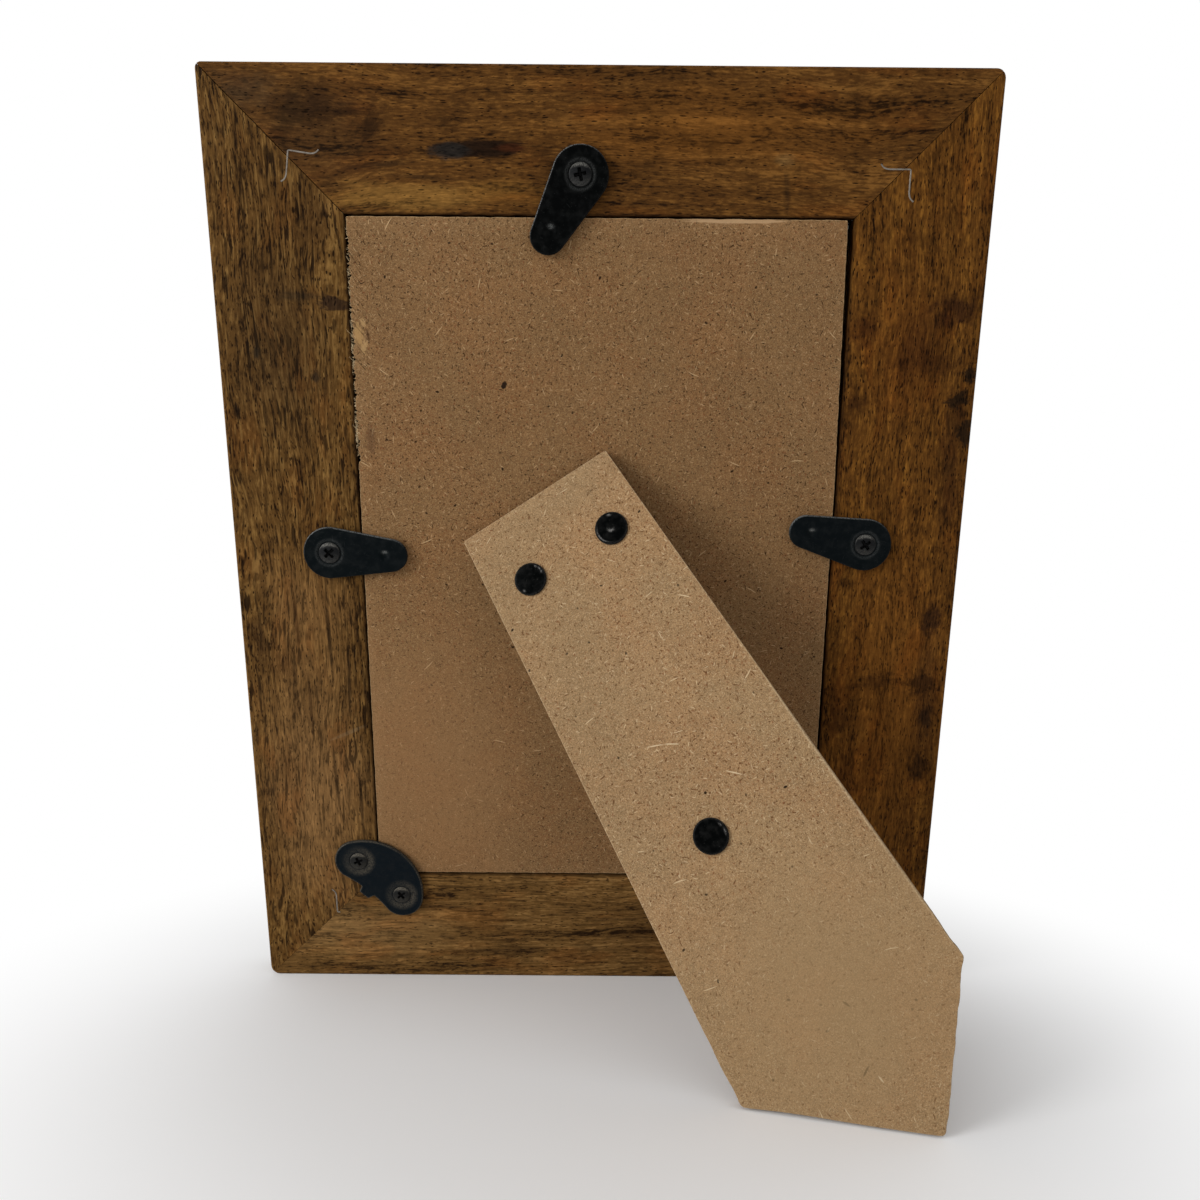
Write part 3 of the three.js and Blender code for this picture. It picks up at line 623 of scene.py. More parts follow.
def wood_material(name, turn, seed, tones, amounts, marks):
    """The stain of one rail, in a light, a middle and a dark tone. The grain runs along the rail, so the pattern
    is turned with it. The outer edge is rubbed within a distance in and down from it. Beyond a distance in from
    the edge, on the wall of the opening, the colour is darkened as painted shade in the narrow gap beside the
    board."""
    material, g, shader = new_material(name, Specular_IOR_Level=0.03)
    plane = g.place(back)
    grain = g.turned(plane, turn, (seed * 211.0, seed * 37.0, seed * 5.0))
    light, middle, dark = mark_tones(g, plane, tones, marks)
    wood = g.group(WOOD, {"Grain": grain, "Light": light, "Middle": middle, "Dark": dark, **amounts})
    u, v, w = g.split(plane)
    beside = g.math("SUBTRACT", FRAME_WIDTH / 2, g.math("ABSOLUTE", u))
    above = g.math("SUBTRACT", FRAME_HEIGHT / 2, g.math("ABSOLUTE", v))
    to_edge = g.math("MINIMUM", beside, above)
    rubbed = g.times(g.smooth(to_edge, *RUBBED_IN), g.smooth(w, *RUBBED_DOWN))
    chafed = g.times(rubbed, g.smooth(g.noise(plane, 0.6, 4.0, 0.7), 0.42, 0.62))
    color = g.mix(g.times(chafed, 0.5), wood["Color"], light)
    # Painted shade on the wall of the opening, in the narrow gap beside the board
    inside = g.times(g.smooth(to_edge, *WALL_SHADE_FROM), WALL_SHADE)
    color = g.mix(inside, color, dark)
    g.feed_all(shader, Base_Color=color, Normal=g.bump(wood["Height"], 0.8),
               Roughness=g.math("MULTIPLY_ADD", wood["Pore"], 0.2, 0.55))
    return material


# %% The four rails' finishes, with their own marks
# A mark is painted over those before it in its list, so the wide faint ones come first.
BLACKENED = (28, 19, 12)
PALE_SCUFF = (128, 108, 80)
REDDISH = (96, 52, 16)
top_marks = [
    Mark((-78.0, 110.0), (34.0, 20.0), 0, 0.9, 0.6, (66, 46, 26), 0.45),
    Mark((30.0, 114.0), (56.0, 12.0), 0, 0.9, 0.6, (112, 70, 26), 0.6),
    Mark((-30.1, 108.6), (13.2, 2.6), 0, 0.3, 0.6, (32, 20, 12), 0.95),
    Mark((-38.0, 108.0), (6.5, 2.5), 0, 0.5, 0.6, (40, 37, 34), 0.8),
    Mark((-22.5, 108.8), (5.0, 1.3), 0, 0.6, 0.5, (66, 34, 16), 0.8),
    Mark((-56.0, 104.6), (14.0, 1.1), 6, 0.8, 0.8, BLACKENED, 0.6),
    Mark((-44.0, 101.8), (13.0, 0.9), -4, 0.8, 0.8, BLACKENED, 0.5),
    Mark((-77.0, 117.0), (12.0, 7.0), 60, 0.9, 0.9, (48, 32, 15), 0.8),
    Mark((-88.0, 122.0), (12.0, 6.0), 0, 0.9, 0.7, (66, 50, 32), 0.7),
    Mark((-69.5, 118.2), (14.0, 6.0), 0, 0.9, 1.3, (42, 26, 13), 0.85),
    Mark((-57.3, 114.0), (8.0, 4.0), 50, 0.9, 1.2, (38, 23, 11), 0.8),
    Mark((-93.5, 117.5), (1.6, 1.2), -45, 0.4, 0.8, (16, 10, 6), 0.9),
    Mark((-50.0, 97.2), (26.0, 4.6), 0, 0.6, 0.9, (126, 90, 42), 0.85),
    Mark((-24.0, 98.5), (16.0, 5.0), 0, 0.8, 1.0, (122, 84, 36), 0.6),
    Mark((47.3, 99.5), (1.3, 7.5), 4, 0.8, 0.5, BLACKENED, 0.5),
    Mark((46.5, 106.6), (3.6, 2.4), 0, 0.9, 0.5, (120, 96, 58), 0.35),
]
left_marks = [
    Mark((-84.0, 58.0), (18.0, 32.0), 0, 0.9, 0.6, (60, 43, 24), 0.55),
    # The two wide pale marks over the rail's lower part are painted light, brighter towards the frame's lower left
    # corner
    Mark((-82.0, -68.0), (24.0, 62.0), 0, 0.9, 0.5, (122, 90, 54), 0.9),
    Mark((-82.0, -12.0), (18.0, 26.0), 0, 0.9, 0.5, (116, 84, 48), 0.75),
    Mark((-69.0, 71.2), (4.7, 2.3), -8, 0.35, 0.8, (42, 28, 19), 0.85),
    Mark((-78.0, 73.0), (9.0, 2.0), -4, 0.8, 0.9, (44, 34, 22), 0.6),
    Mark((-74.7, 52.7), (1.6, 2.6), 0, 0.7, 0.8, (38, 31, 22), 0.8),
    Mark((-89.9, 58.8), (1.4, 2.8), 0, 0.7, 0.8, (34, 28, 20), 0.8),
    Mark((-96.5, 43.3), (1.6, 3.0), 0, 0.7, 0.9, (36, 22, 12), 0.8),
    Mark((-72.5, 92.0), (7.0, 12.0), 0, 0.9, 0.7, (60, 38, 18), 0.45),
    Mark((-95.0, -20.0), (4.0, 9.0), 0, 0.8, 1.0, (40, 24, 12), 0.6),
    Mark((-75.5, -19.0), (0.8, 13.0), 2, 0.6, 0.6, (38, 26, 14), 0.75),
    Mark((-67.5, -16.0), (0.6, 9.0), 1, 0.6, 0.6, (42, 26, 12), 0.7),
    Mark((-70.5, -33.0), (0.7, 12.0), -2, 0.6, 0.6, (42, 28, 15), 0.7),
    Mark((-66.0, -36.0), (0.6, 14.0), 3, 0.6, 0.6, (42, 28, 15), 0.65),
    Mark((-84.5, -14.0), (0.8, 11.0), 2, 0.6, 0.6, (50, 28, 12), 0.65),
    Mark((-82.0, -40.0), (0.6, 16.0), 1, 0.6, 0.6, (50, 32, 18), 0.6),
    Mark((-76.0, -62.0), (0.7, 15.0), 2, 0.6, 0.6, (46, 32, 18), 0.6),
    Mark((-69.0, -70.0), (0.6, 18.0), 1, 0.6, 0.6, (44, 30, 17), 0.65),
    Mark((-72.0, -48.0), (7.5, 0.7), 24, 0.6, 0.6, PALE_SCUFF, 0.35),
    Mark((-89.0, -27.0), (5.0, 8.0), 0, 0.9, 0.9, (74, 46, 22), 0.5),
    Mark((-89.5, -60.0), (4.0, 14.0), 0, 0.9, 0.9, (86, 56, 28), 0.5),
]
right_marks = [
    Mark((80.0, 60.0), (12.0, 30.0), 0, 0.9, 0.5, REDDISH, 0.35),
    Mark((84.0, -40.0), (20.0, 62.0), 0, 0.9, 0.5, (120, 75, 28), 0.6),
    Mark((95.5, 34.0), (5.0, 30.0), 0, 0.8, 1.2, (48, 30, 15), 0.6),
    Mark((84.0, 62.0), (13.0, 8.0), 70, 0.8, 1.1, (56, 30, 12), 0.6),
    Mark((92.6, 70.8), (8.0, 6.0), 0, 0.8, 1.1, (46, 25, 14), 0.75),
    Mark((88.8, 56.9), (7.0, 4.0), 0, 0.8, 1.1, (50, 27, 11), 0.6),
    Mark((69.5, 65.5), (4.5, 5.5), 0, 0.8, 1.1, (52, 28, 11), 0.75),
    Mark((68.5, 47.0), (3.5, 4.0), 0, 0.8, 1.1, (52, 28, 11), 0.7),
    Mark((98.0, 54.4), (2.4, 2.6), 0, 0.5, 1.2, (32, 22, 13), 0.9),
    Mark((95.6, 48.0), (4.0, 2.6), 20, 0.5, 1.3, (34, 24, 14), 0.85),
    Mark((98.4, 39.0), (2.6, 4.4), 0, 0.5, 1.3, (34, 23, 13), 0.9),
    Mark((94.0, -13.0), (4.2, 5.8), 0, 0.7, 1.3, (42, 25, 14), 0.85),
    Mark((94.5, -36.0), (5.0, 36.0), 0, 0.9, 0.9, (66, 40, 20), 0.5),
    Mark((73.0, -64.0), (9.0, 14.0), 0, 0.9, 1.0, (68, 34, 13), 0.5),
    Mark((69.0, -34.0), (4.0, 9.0), 0, 0.9, 1.0, (66, 38, 15), 0.4),
    Mark((80.0, -31.0), (9.0, 3.2), 3, 0.8, 1.4, (52, 29, 12), 0.6),
    Mark((93.0, -31.5), (6.5, 5.0), 0, 0.8, 1.3, (42, 24, 11), 0.7),
    Mark((95.0, -42.0), (2.8, 6.0), 0, 0.7, 1.3, (38, 24, 14), 0.8),
    Mark((94.3, -57.0), (3.8, 6.5), 0, 0.7, 1.3, (36, 21, 11), 0.7),
    Mark((70.0, -42.0), (6.0, 8.0), 0, 0.9, 1.1, (54, 29, 11), 0.6),
]
bottom_marks = [
    # The wide pale mark over the rail's left part is painted light, brighter towards the frame's lower left corner
    Mark((-70.0, -112.0), (36.0, 14.0), 0, 0.9, 0.5, (128, 97, 58), 0.9),
    Mark((20.0, -112.0), (22.0, 14.0), 0, 0.9, 0.5, (64, 40, 17), 0.35),
    Mark((-30.0, -119.0), (26.0, 1.0), 1, 0.8, 0.8, (46, 30, 16), 0.5),
    Mark((-46.0, -104.0), (18.0, 0.8), -2, 0.8, 0.8, (46, 30, 16), 0.5),
]
wood_of = {
    "top_rail": wood_material(
        "stain_top", 0, 1, (tone(124, 84, 38), tone(86, 55, 23), tone(28, 16, 7)),
        {"Figure": 1.3, "Blotch": 1.4, "Pores": 0.25, "Dashes": 0.42, "Dash length": 3.2}, top_marks),
    "left_rail": wood_material(
        "stain_left", 90, 2, (tone(132, 99, 53), tone(92, 64, 30), tone(28, 16, 6)),
        {"Figure": 0.9, "Blotch": 0.6, "Pores": 0.5, "Dashes": 1.0, "Dash length": 6.5}, left_marks),
    "right_rail": wood_material(
        "stain_right", 90, 3, (tone(134, 89, 34), tone(93, 58, 21), tone(22, 11, 4)),
        {"Figure": 1.0, "Blotch": 1.4, "Pores": 0.5, "Dashes": 0.5, "Dash length": 3.6}, right_marks),
    "bottom_rail": wood_material(
        "stain_bottom", 0, 4, (tone(144, 108, 62), tone(104, 75, 39), tone(36, 22, 10)),
        {"Figure": 1.2, "Blotch": 0.8, "Pores": 0.35, "Dashes": 0.55, "Dash length": 11.0}, bottom_marks),
}
print("wood:", ", ".join(m.name for m in wood_of.values()))

# %% [markdown]
# A rail is one moulding: a flat back, a rounded outer edge, a rebate that holds the glass and
# the board, and a slope round the picture. On the real frame the corners were sanded by hand and
# the mitres opened a little. The section is drawn once and carried along the rail. Its ends
# follow the mitre, and points near an outer corner are drawn in onto a circle.

# %% Rails
RAIL_WIDTH = 35.0
LIP_WIDTH = 6.0
REBATE_DEPTH = 6.5
BACK_ARRIS = 0.8
FRONT_ARRIS = 2.0
OPENING_ARRIS = 0.25
SIGHT_BEVEL = (7.0, 3.0)
EDGE_STEPS = (-4, -9)
FRONT_STEPS = (3, 18)
BACK_STEPS = (30, 20, 10, 4, 2.8, 2.2, 1.7, 1.2)
WALL_STEP = -2.5
END_SHARES = np.geomspace(0.003, 0.12, 12)
MIDDLE_SHARES = np.linspace(-0.84, 0.84, 70)
SAW_WAVE, SAW_SIZE = 9, 0.07
CORNER_RADIUS = {(-1, 1): 1.6, (1, 1): 2.4, (-1, -1): 2.8, (1, -1): 2.0}
MITRE_GAP = {(-1, 1): 0.20, (1, 1): 0.14, (-1, -1): 0.08, (1, -1): 0.10}


def rail_section():
    """Distance in from the outer edge, and height, once round the moulding."""
    sight = RAIL_WIDTH + LIP_WIDTH
    slope_in, slope_up = SIGHT_BEVEL
    return np.vstack([
        arc((BACK_ARRIS, -BACK_ARRIS), BACK_ARRIS, 90, 180, 7),
        [[0, step] for step in EDGE_STEPS],
        arc((FRONT_ARRIS, FRONT_ARRIS - RAIL_DEPTH), FRONT_ARRIS, 180, 270, 7),
        [[step, -RAIL_DEPTH] for step in FRONT_STEPS],
        curve((sight - slope_in, -RAIL_DEPTH), (sight - slope_in / 2, -RAIL_DEPTH),
              (sight, slope_up - RAIL_DEPTH), 9),
        [[sight, -REBATE_DEPTH], [RAIL_WIDTH, -REBATE_DEPTH], [RAIL_WIDTH, WALL_STEP]],
        arc((RAIL_WIDTH - OPENING_ARRIS, -OPENING_ARRIS), OPENING_ARRIS, 0, 90, 4),
        [[step, 0] for step in BACK_STEPS],
    ])


def sanded_corners(u, v):
    """Points near an outer corner drawn in: inside the corner's square, the larger of the two
    distances from its inner corner becomes the distance, so the square becomes a circle."""
    for (side_u, side_v), radius in CORNER_RADIUS.items():
        in_u = side_u * u - (FRAME_WIDTH / 2 - radius)
        in_v = side_v * v - (FRAME_HEIGHT / 2 - radius)
        near = (in_u > 0) & (in_v > 0)
        reach = np.where(near, np.hypot(in_u, in_v), 1)
        share = np.where(near, np.maximum(in_u, in_v) / reach, 1)
        u = np.where(near, side_u * (FRAME_WIDTH / 2 - radius + in_u * share), u)
        v = np.where(near, side_v * (FRAME_HEIGHT / 2 - radius + in_v * share), v)
    return u, v


def rail_grid(length, across, turn, seed):
    """Rows run along the rail, columns round its section. A row's place along the rail is a
    share of the half length, which the mitre shortens by the distance in from the edge."""
    inward, height = rail_section().T
    near_end = 1 - END_SHARES
    share = np.r_[-1, -near_end, MIDDLE_SHARES, near_end[::-1], 1][:, None]
    turn = math.radians(turn)
    spin = np.array([[math.cos(turn), math.sin(turn)], [-math.sin(turn), math.cos(turn)]])
    at_opening = (inward >= RAIL_WIDTH - 1) * (height > -3)
    wobble = wander(share * length / 2, SAW_WAVE, SAW_SIZE, seed) * at_opening
    inward = inward + wobble
    gap = np.empty_like(share)
    for end in (-1, 1):
        corner = tuple(int(np.sign(x)) for x in np.array([end * length, -across]) @ spin)
        gap = np.where(np.sign(share) == end, MITRE_GAP[corner] * math.sqrt(0.5), gap)
    half = length / 2 - inward - gap
    flat = np.stack([share * half, inward - across / 2], -1) @ spin
    u, v = sanded_corners(flat[..., 0], flat[..., 1])
    return Grid(np.stack([u, v, np.broadcast_to(height, u.shape)], -1))


rail_layout = {"bottom_rail": (FRAME_WIDTH, FRAME_HEIGHT, 0),
               "right_rail": (FRAME_HEIGHT, FRAME_WIDTH, 90),
               "top_rail": (FRAME_WIDTH, FRAME_HEIGHT, 180),
               "left_rail": (FRAME_HEIGHT, FRAME_WIDTH, -90)}
for seed, (node, layout) in enumerate(rail_layout.items()):
    add_grids(node, "wood", back, [rail_grid(*layout, seed)], wood_of[node])

# %% [markdown]
# Board and leg are sawn from fibreboard: pressed wood fibre, even in colour from a step away,
# full of dark chips and pale hairs from close by. The face is closed, the sawn edges are rough
# and their corners rub pale. Flecks of several kinds are laid over a mottled ground, and two
# attributes of the mesh tell the finish where the corners and the sawn sides are.


# %% Fibreboard
def make_fibreboard():
    tree, g, given, result = new_group(
        "fibreboard",
        {"Vector": ("vector", (0, 0, 0)), "Ground": ("color", (1, 1, 1, 1)),
         "Chip": ("color", (0, 0, 0, 1)), "Hair": ("color", (1, 1, 1, 1)),
         "Corner": ("value", 0.0), "Side": ("value", 0.0), "Chips": ("value", 0.3),
         "Hairs": ("value", 0.3)},
        {"Color": "color", "Height": "value"})
    p = given["Vector"]
    cloud, mottle, grit = (g.math("SUBTRACT", g.noise(p, scale, 3.0, roughness), 0.5)
                           for scale, roughness in ((0.035, 0.5), (0.45, 0.6), (3.0, 0.65)))
    level = g.weighted(1.0, (cloud, 0.30), (mottle, 0.45), (grit, 1.6))
    color = g.mix(1.0, given["Ground"], g.join(level, level, level), "MULTIPLY")
    warm = g.smooth(g.noise(p, 0.05, 3.0), 0.4, 0.65)
    color = g.mix(warm, color, (1.05, 0.985, 0.95, 1), "MULTIPLY")

    # A noise texture's own contour lines are long thin curves, and a second one breaks them up
    contours = ((31.0, 1.0, "Chip", 0.50), (87.0, 1.25, "Hair", 0.42),
                (13.0, 1.7, "Chip", 0.55), (53.0, 1.9, "Hair", 0.44))
    for shift, scale, tint, amount in contours:
        field = g.vector("ADD", p, (shift, -shift, 0.0))
        off_line = g.math("ABSOLUTE", g.math("SUBTRACT", g.noise(field, scale, 1.0, 0.5, 0.6), 0.5))
        line = g.smooth(off_line, 0.036, 0.012)
        broken = g.smooth(g.noise(field, 1.9 * scale, 1.0), 0.47, 0.60)
        fibre = g.times(line, broken)
        color = g.mix(g.times(fibre, amount), color, given[tint])

    crowded = g.smooth(g.noise(p, 0.045, 3.0, 0.6), 0.35, 0.65, 0.5, 1.3)
    chips = g.times(given["Chips"], crowded)
    hairs = g.times(given["Hairs"], crowded)
    rusty = (0.17, 0.055, 0.02, 1)
    # Name, cells per millimetre, length, width, bend, share of the cells, strength and colour
    kinds = (
        ("specks", 0.66, 0.62, 0.44, 0.3, chips, 0.85, given["Chip"]),
        ("splinters", 0.30, 1.50, 0.36, 0.5, chips, 0.80, given["Chip"]),
        ("rust", 0.50, 0.80, 0.46, 0.3, chips, 0.65, rusty),
        ("dots", 0.10, 0.95, 0.70, 0.0, 0.40, 0.97, (0.012, 0.006, 0.004, 1)),
        ("short hairs", 0.42, 1.30, 0.32, 0.7, hairs, 0.60, given["Hair"]),
        ("long hairs", 0.085, 3.60, 0.34, 0.10, hairs, 0.85, given["Hair"]))
    marked = {}
    for number, (kind, cells, length, width, bend, share, strength, tint) in enumerate(kinds):
        field = g.vector("ADD", p, (61.0 * number, 17.0 * number, 0.0))
        fleck = g.group(FLECKS, {"Vector": field, "Cells": cells, "Length": length, "Width": width,
                                 "Bend": bend, "Share": share})
        varied = g.times(strength, g.math("MULTIPLY_ADD", fleck["Chance"], 0.5, 0.5))
        color = g.mix(g.times(fleck["Mask"], varied), color, tint)
        marked[kind] = fleck["Mask"]

    torn = g.noise(g.vector("MULTIPLY", p, (1.6, 1.6, 4.0)), 1.0, 4.0, 0.7)
    rubbed = g.times(given["Corner"], g.smooth(torn, 0.32, 0.6))
    color = g.mix(g.times(rubbed, 0.85), color, given["Hair"])
    sawn = g.times(given["Side"], g.smooth(torn, 0.3, 0.7, 0.15, 0.6))
    color = g.mix(sawn, color, given["Chip"])
    rough = g.math("MAXIMUM", given["Corner"], given["Side"])
    result("Color", color)
    result("Height", g.weighted(g.times(grit, 0.09), (marked["splinters"], -0.04),
                                (marked["long hairs"], 0.06), (g.times(torn, rough), 0.25)))
    return tree


FIBREBOARD = make_fibreboard()


def fibreboard_material(name, axes, ground, chip, hair, chips, hairs, quiet, marks):
    """The quiet part is where flecks get fewer: two heights along v, full above and few below."""
    material, g, shader = new_material(name, Roughness=0.85, Specular_IOR_Level=0.05)
    plane = g.place(axes)
    busy = g.smooth(g.split(plane)[1], *quiet)
    made = g.group(FIBREBOARD, {
        "Vector": plane, "Ground": ground, "Chip": chip, "Hair": hair,
        "Chips": g.times(busy, chips), "Hairs": g.times(busy, hairs),
        "Corner": g.attribute("corner"), "Side": g.attribute("side")})
    g.feed_all(shader, Base_Color=paint_marks(g, plane, made["Color"], marks),
               Normal=g.bump(made["Height"], 0.7))
    return material


PALE_HAIR = (220, 198, 162)
board_marks = [
    Mark((-25.0, 50.8), (0.75, 1.25), -25, 0.3, 0.5, (30, 20, 15), 0.95),
    Mark((35.0, 92.1), (15.5, 0.75), 0, 0.4, 0.7, (184, 150, 112), 0.8),
    Mark((-62.8, 63.5), (1.3, 3.6), 8, 0.5, 1.6, (172, 136, 88), 0.7),
    Mark((-61.5, 60.5), (0.9, 2.2), -12, 0.5, 1.6, (176, 142, 96), 0.7),
    Mark((-61.6, 66.5), (0.7, 1.6), 20, 0.5, 1.6, (176, 142, 96), 0.7),
    Mark((-60.4, 63.0), (0.4, 2.4), 10, 0.5, 1.2, (70, 46, 30), 0.7),
    Mark((-61.0, 36.0), (2.0, 6.0), 0, 0.8, 1.2, (84, 58, 40), 0.5),
    # The wide pale patch over the board's lower left is painted light: the board is made brighter towards the
    # lower left
    Mark((-50.0, -62.0), (44.0, 62.0), 0, 0.9, 0.3, (150, 113, 76), 0.45)]
leg_marks = [
    Mark((-5.5, -66.9), (2.6, 0.17), -20, 0.5, 0.6, PALE_HAIR, 0.75),
    Mark((-1.6, -68.6), (2.4, 0.17), -29, 0.5, 0.6, PALE_HAIR, 0.75),
    Mark((8.3, -82.2), (2.7, 0.17), -42, 0.5, 0.6, PALE_HAIR, 0.72),
    Mark((-0.3, -82.9), (0.45, 0.45), 0, 0.4, 0.3, (24, 14, 8), 0.95),
    Mark((3.9, -139.1), (1.1, 0.35), -64, 0.5, 0.5, (40, 30, 22), 0.9),
    Mark((0.1, -153.1), (1.7, 0.28), 32, 0.5, 0.5, (48, 34, 22), 0.85),
    Mark((2.2, -155.8), (1.1, 0.24), -80, 0.5, 0.5, PALE_HAIR, 0.8),
    Mark((27.2, -66.0), (0.8, 24.0), 4, 0.6, 0.8, (178, 152, 114), 0.6),
    # The wide pale patch over the leg's lower end is painted light: the leg is made paler towards its foot
    Mark((4.0, -138.0), (50.0, 46.0), 0, 0.9, 0.3, (150, 123, 88), 0.6)]
board_finish = fibreboard_material(
    "fibreboard_brown", back, tone(126, 95, 62), tone(50, 29, 14), tone(190, 158, 116), 0.78, 0.46,
    (-70, 40, 0.7, 1.0), board_marks)
leg_finish = fibreboard_material(
    "fibreboard_pale", leg_axes, tone(147, 119, 85), tone(86, 51, 25), tone(208, 182, 144), 0.72, 0.42,
    (-140, -80, 0.4, 1.0), leg_marks)
torn_finish = fibreboard_material(
    "torn_fibres", back, tone(196, 166, 122), tone(150, 118, 80), tone(222, 200, 160), 0.2, 0.2,
    (-70, 40, 0.5, 1.0), [])
print("fibreboard:", board_finish.name, leg_finish.name)

# %% [markdown]
# A sawn board is an outline with a thickness. Its corners aren't sharp: a quarter circle joins
# each face to the side, small on a fresh edge and larger where it is worn. So the outline is
# drawn with many points, each with its own rounding, and the same short profile is carried
# round it. The two faces are flat, so each closes with one face.


# %% Outlines taken from the CAD
def hull_of(axes, node):
    """Corners of the CAD node's outermost line seen along w, walked anticlockwise."""
    flat = np.unique(axes.to_local(vertices_of(node))[:, :2].round(2), axis=0)
    hull = flat[convex_hull_2d([Vector(p) for p in flat.tolist()])]
    following = np.roll(hull, -1, 0)
    area = (hull[:, 0] * following[:, 1] - hull[:, 1] * following[:, 0]).sum()
    return hull if area > 0 else hull[::-1]


def eased_corners(corners, reach, step):
    """Each corner becomes a quadratic curve between two points at the given reach from it."""
    arriving, leaving = np.roll(corners, 1, 0) - corners, np.roll(corners, -1, 0) - corners
    starts = corners + reach * arriving / np.linalg.norm(arriving, axis=1, keepdims=True)
    ends = corners + reach * leaving / np.linalg.norm(leaving, axis=1, keepdims=True)
    pieces = [curve(*points, 6) for points in zip(starts, corners, ends)]
    return even_steps(np.vstack(pieces), step)


# %% A slab with a rounded edge
def slab_grid(outline, rounding, low, high, rough, seed, ragged, wear=0.35):
    """Rows go from the upper face round the edge to the lower face, columns round the outline.
    At angle a the edge is rounding*(1-sin a) in from the outline and rounding*(1-cos a) below
    the face. Roughness and raggedness only move points inwards. The first and last row are the
    outline drawn in by a twentieth towards its middle."""
    angle = np.radians(np.linspace(0, 90, 6))[:, None]
    rounding = np.broadcast_to(rounding, len(outline))
    inset = rounding * (1 - np.sin(angle))
    drop = rounding * (1 - np.cos(angle))
    none = 0 * rounding[None]
    distance = np.r_[0, np.cumsum(np.linalg.norm(np.diff(outline, axis=0), axis=1))]
    sides = [high - rounding - (high - low - 2 * rounding) * share for share in (0.33, 0.67)]
    insets = np.vstack([none, inset, none, none, inset[::-1], none])
    heights = np.vstack([high + none, high - drop, sides[0][None], sides[1][None],
                         low + drop[::-1], low + none])
    shaken = np.stack([wander(distance, 1.7, rough, seed + row) for row in range(len(insets))])
    shaken = np.clip(shaken + rough, 0, None)
    shaken[[1, -2]] = rough
    points = outline + sides_of(outline) * (insets + shaken + ragged)[..., None]
    middle = outline.mean(0)
    points[[0, -1]] = middle + 0.95 * (outline - middle)
    corner = np.r_[0, 0.1, 0.7, 1, 1, 0.7, 0.4, 0.1, 0.1, 0.4, 0.7, 1, 0.7, 0.3, 0.1, 0][:, None]
    side = np.r_[0, 0, 0, 0.1, 0.4, 0.8, 1, 1, 1, 1, 0.8, 0.4, 0.1, 0, 0, 0][:, None]
    wear = np.clip(wear + rounding / 0.9, 0, 1)
    return Grid(lifted(points, heights), values={"corner": corner * wear, "side": side + none})


# %% Back board, with its torn left edge
BOARD_ROUNDING = 0.28
BOARD_WEAR = 0.7
BOARD_EASE = 0.5
BOARD_STEP, LEG_STEP = 0.2, 0.3
SAWN_ROUGH = {"back_board": 0.02, "leg": 0.025}
board_low, board_high = box_in(back, "back_board")
TORN_FROM, TORN_TO = 32.0, 90.5
board_line = eased_corners(hull_of(back, "back_board"), BOARD_EASE, BOARD_STEP)
on_left = board_line[:, 0] < board_low[0] + 0.02
height = board_line[:, 1]
torn = on_left * rise(height, TORN_FROM - 8, TORN_FROM) * rise(-height, -TORN_TO - 1, -TORN_TO)
fray = wander(height, 0.8, 0.22, 5) + wander(height, 4, 0.22, 6) + wander(height, 17, 0.2, 8)
uneven = wander(board_line.sum(1), 6, 0.05, 7) + 0.05
ragged = np.clip(torn * (fray + 0.15) + uneven, 0, 0.7)
slab = slab_grid(board_line, BOARD_ROUNDING, board_low[2], board_high[2],
                 SAWN_ROUGH["back_board"], 11, ragged, BOARD_WEAR)
add_grids("back_board", "fibre", back, [slab], board_finish, angle=50)

# %% Leg, from the CAD outline
leg_line = even_steps(hull_of(leg_axes, "leg"), LEG_STEP)
across, down = leg_line.T
worn = rise(across, 15, 22) * rise(-down, 62, 84) * rise(down, -145, -120)
LEG_ROUNDING, LEG_WEAR = 0.26, 0.5
leg_rounding = LEG_ROUNDING + LEG_WEAR * worn
at_foot = rise(-down, 128, 140)
ragged = at_foot * np.clip(wander(across + down, 9, 0.12, 41) + 0.12, 0, 0.3)
slab = slab_grid(leg_line, leg_rounding, leg_low[2], leg_high[2], SAWN_ROUGH["leg"], 31, ragged)
add_grids("leg", "fibre", leg_axes, [slab], leg_finish, angle=50)


# %% Torn fibres along the board's left edge
TUFT_PLACES = (41.4, 36.1, 41.0, 36.4)
NEAR_A_CLUMP = 0.7


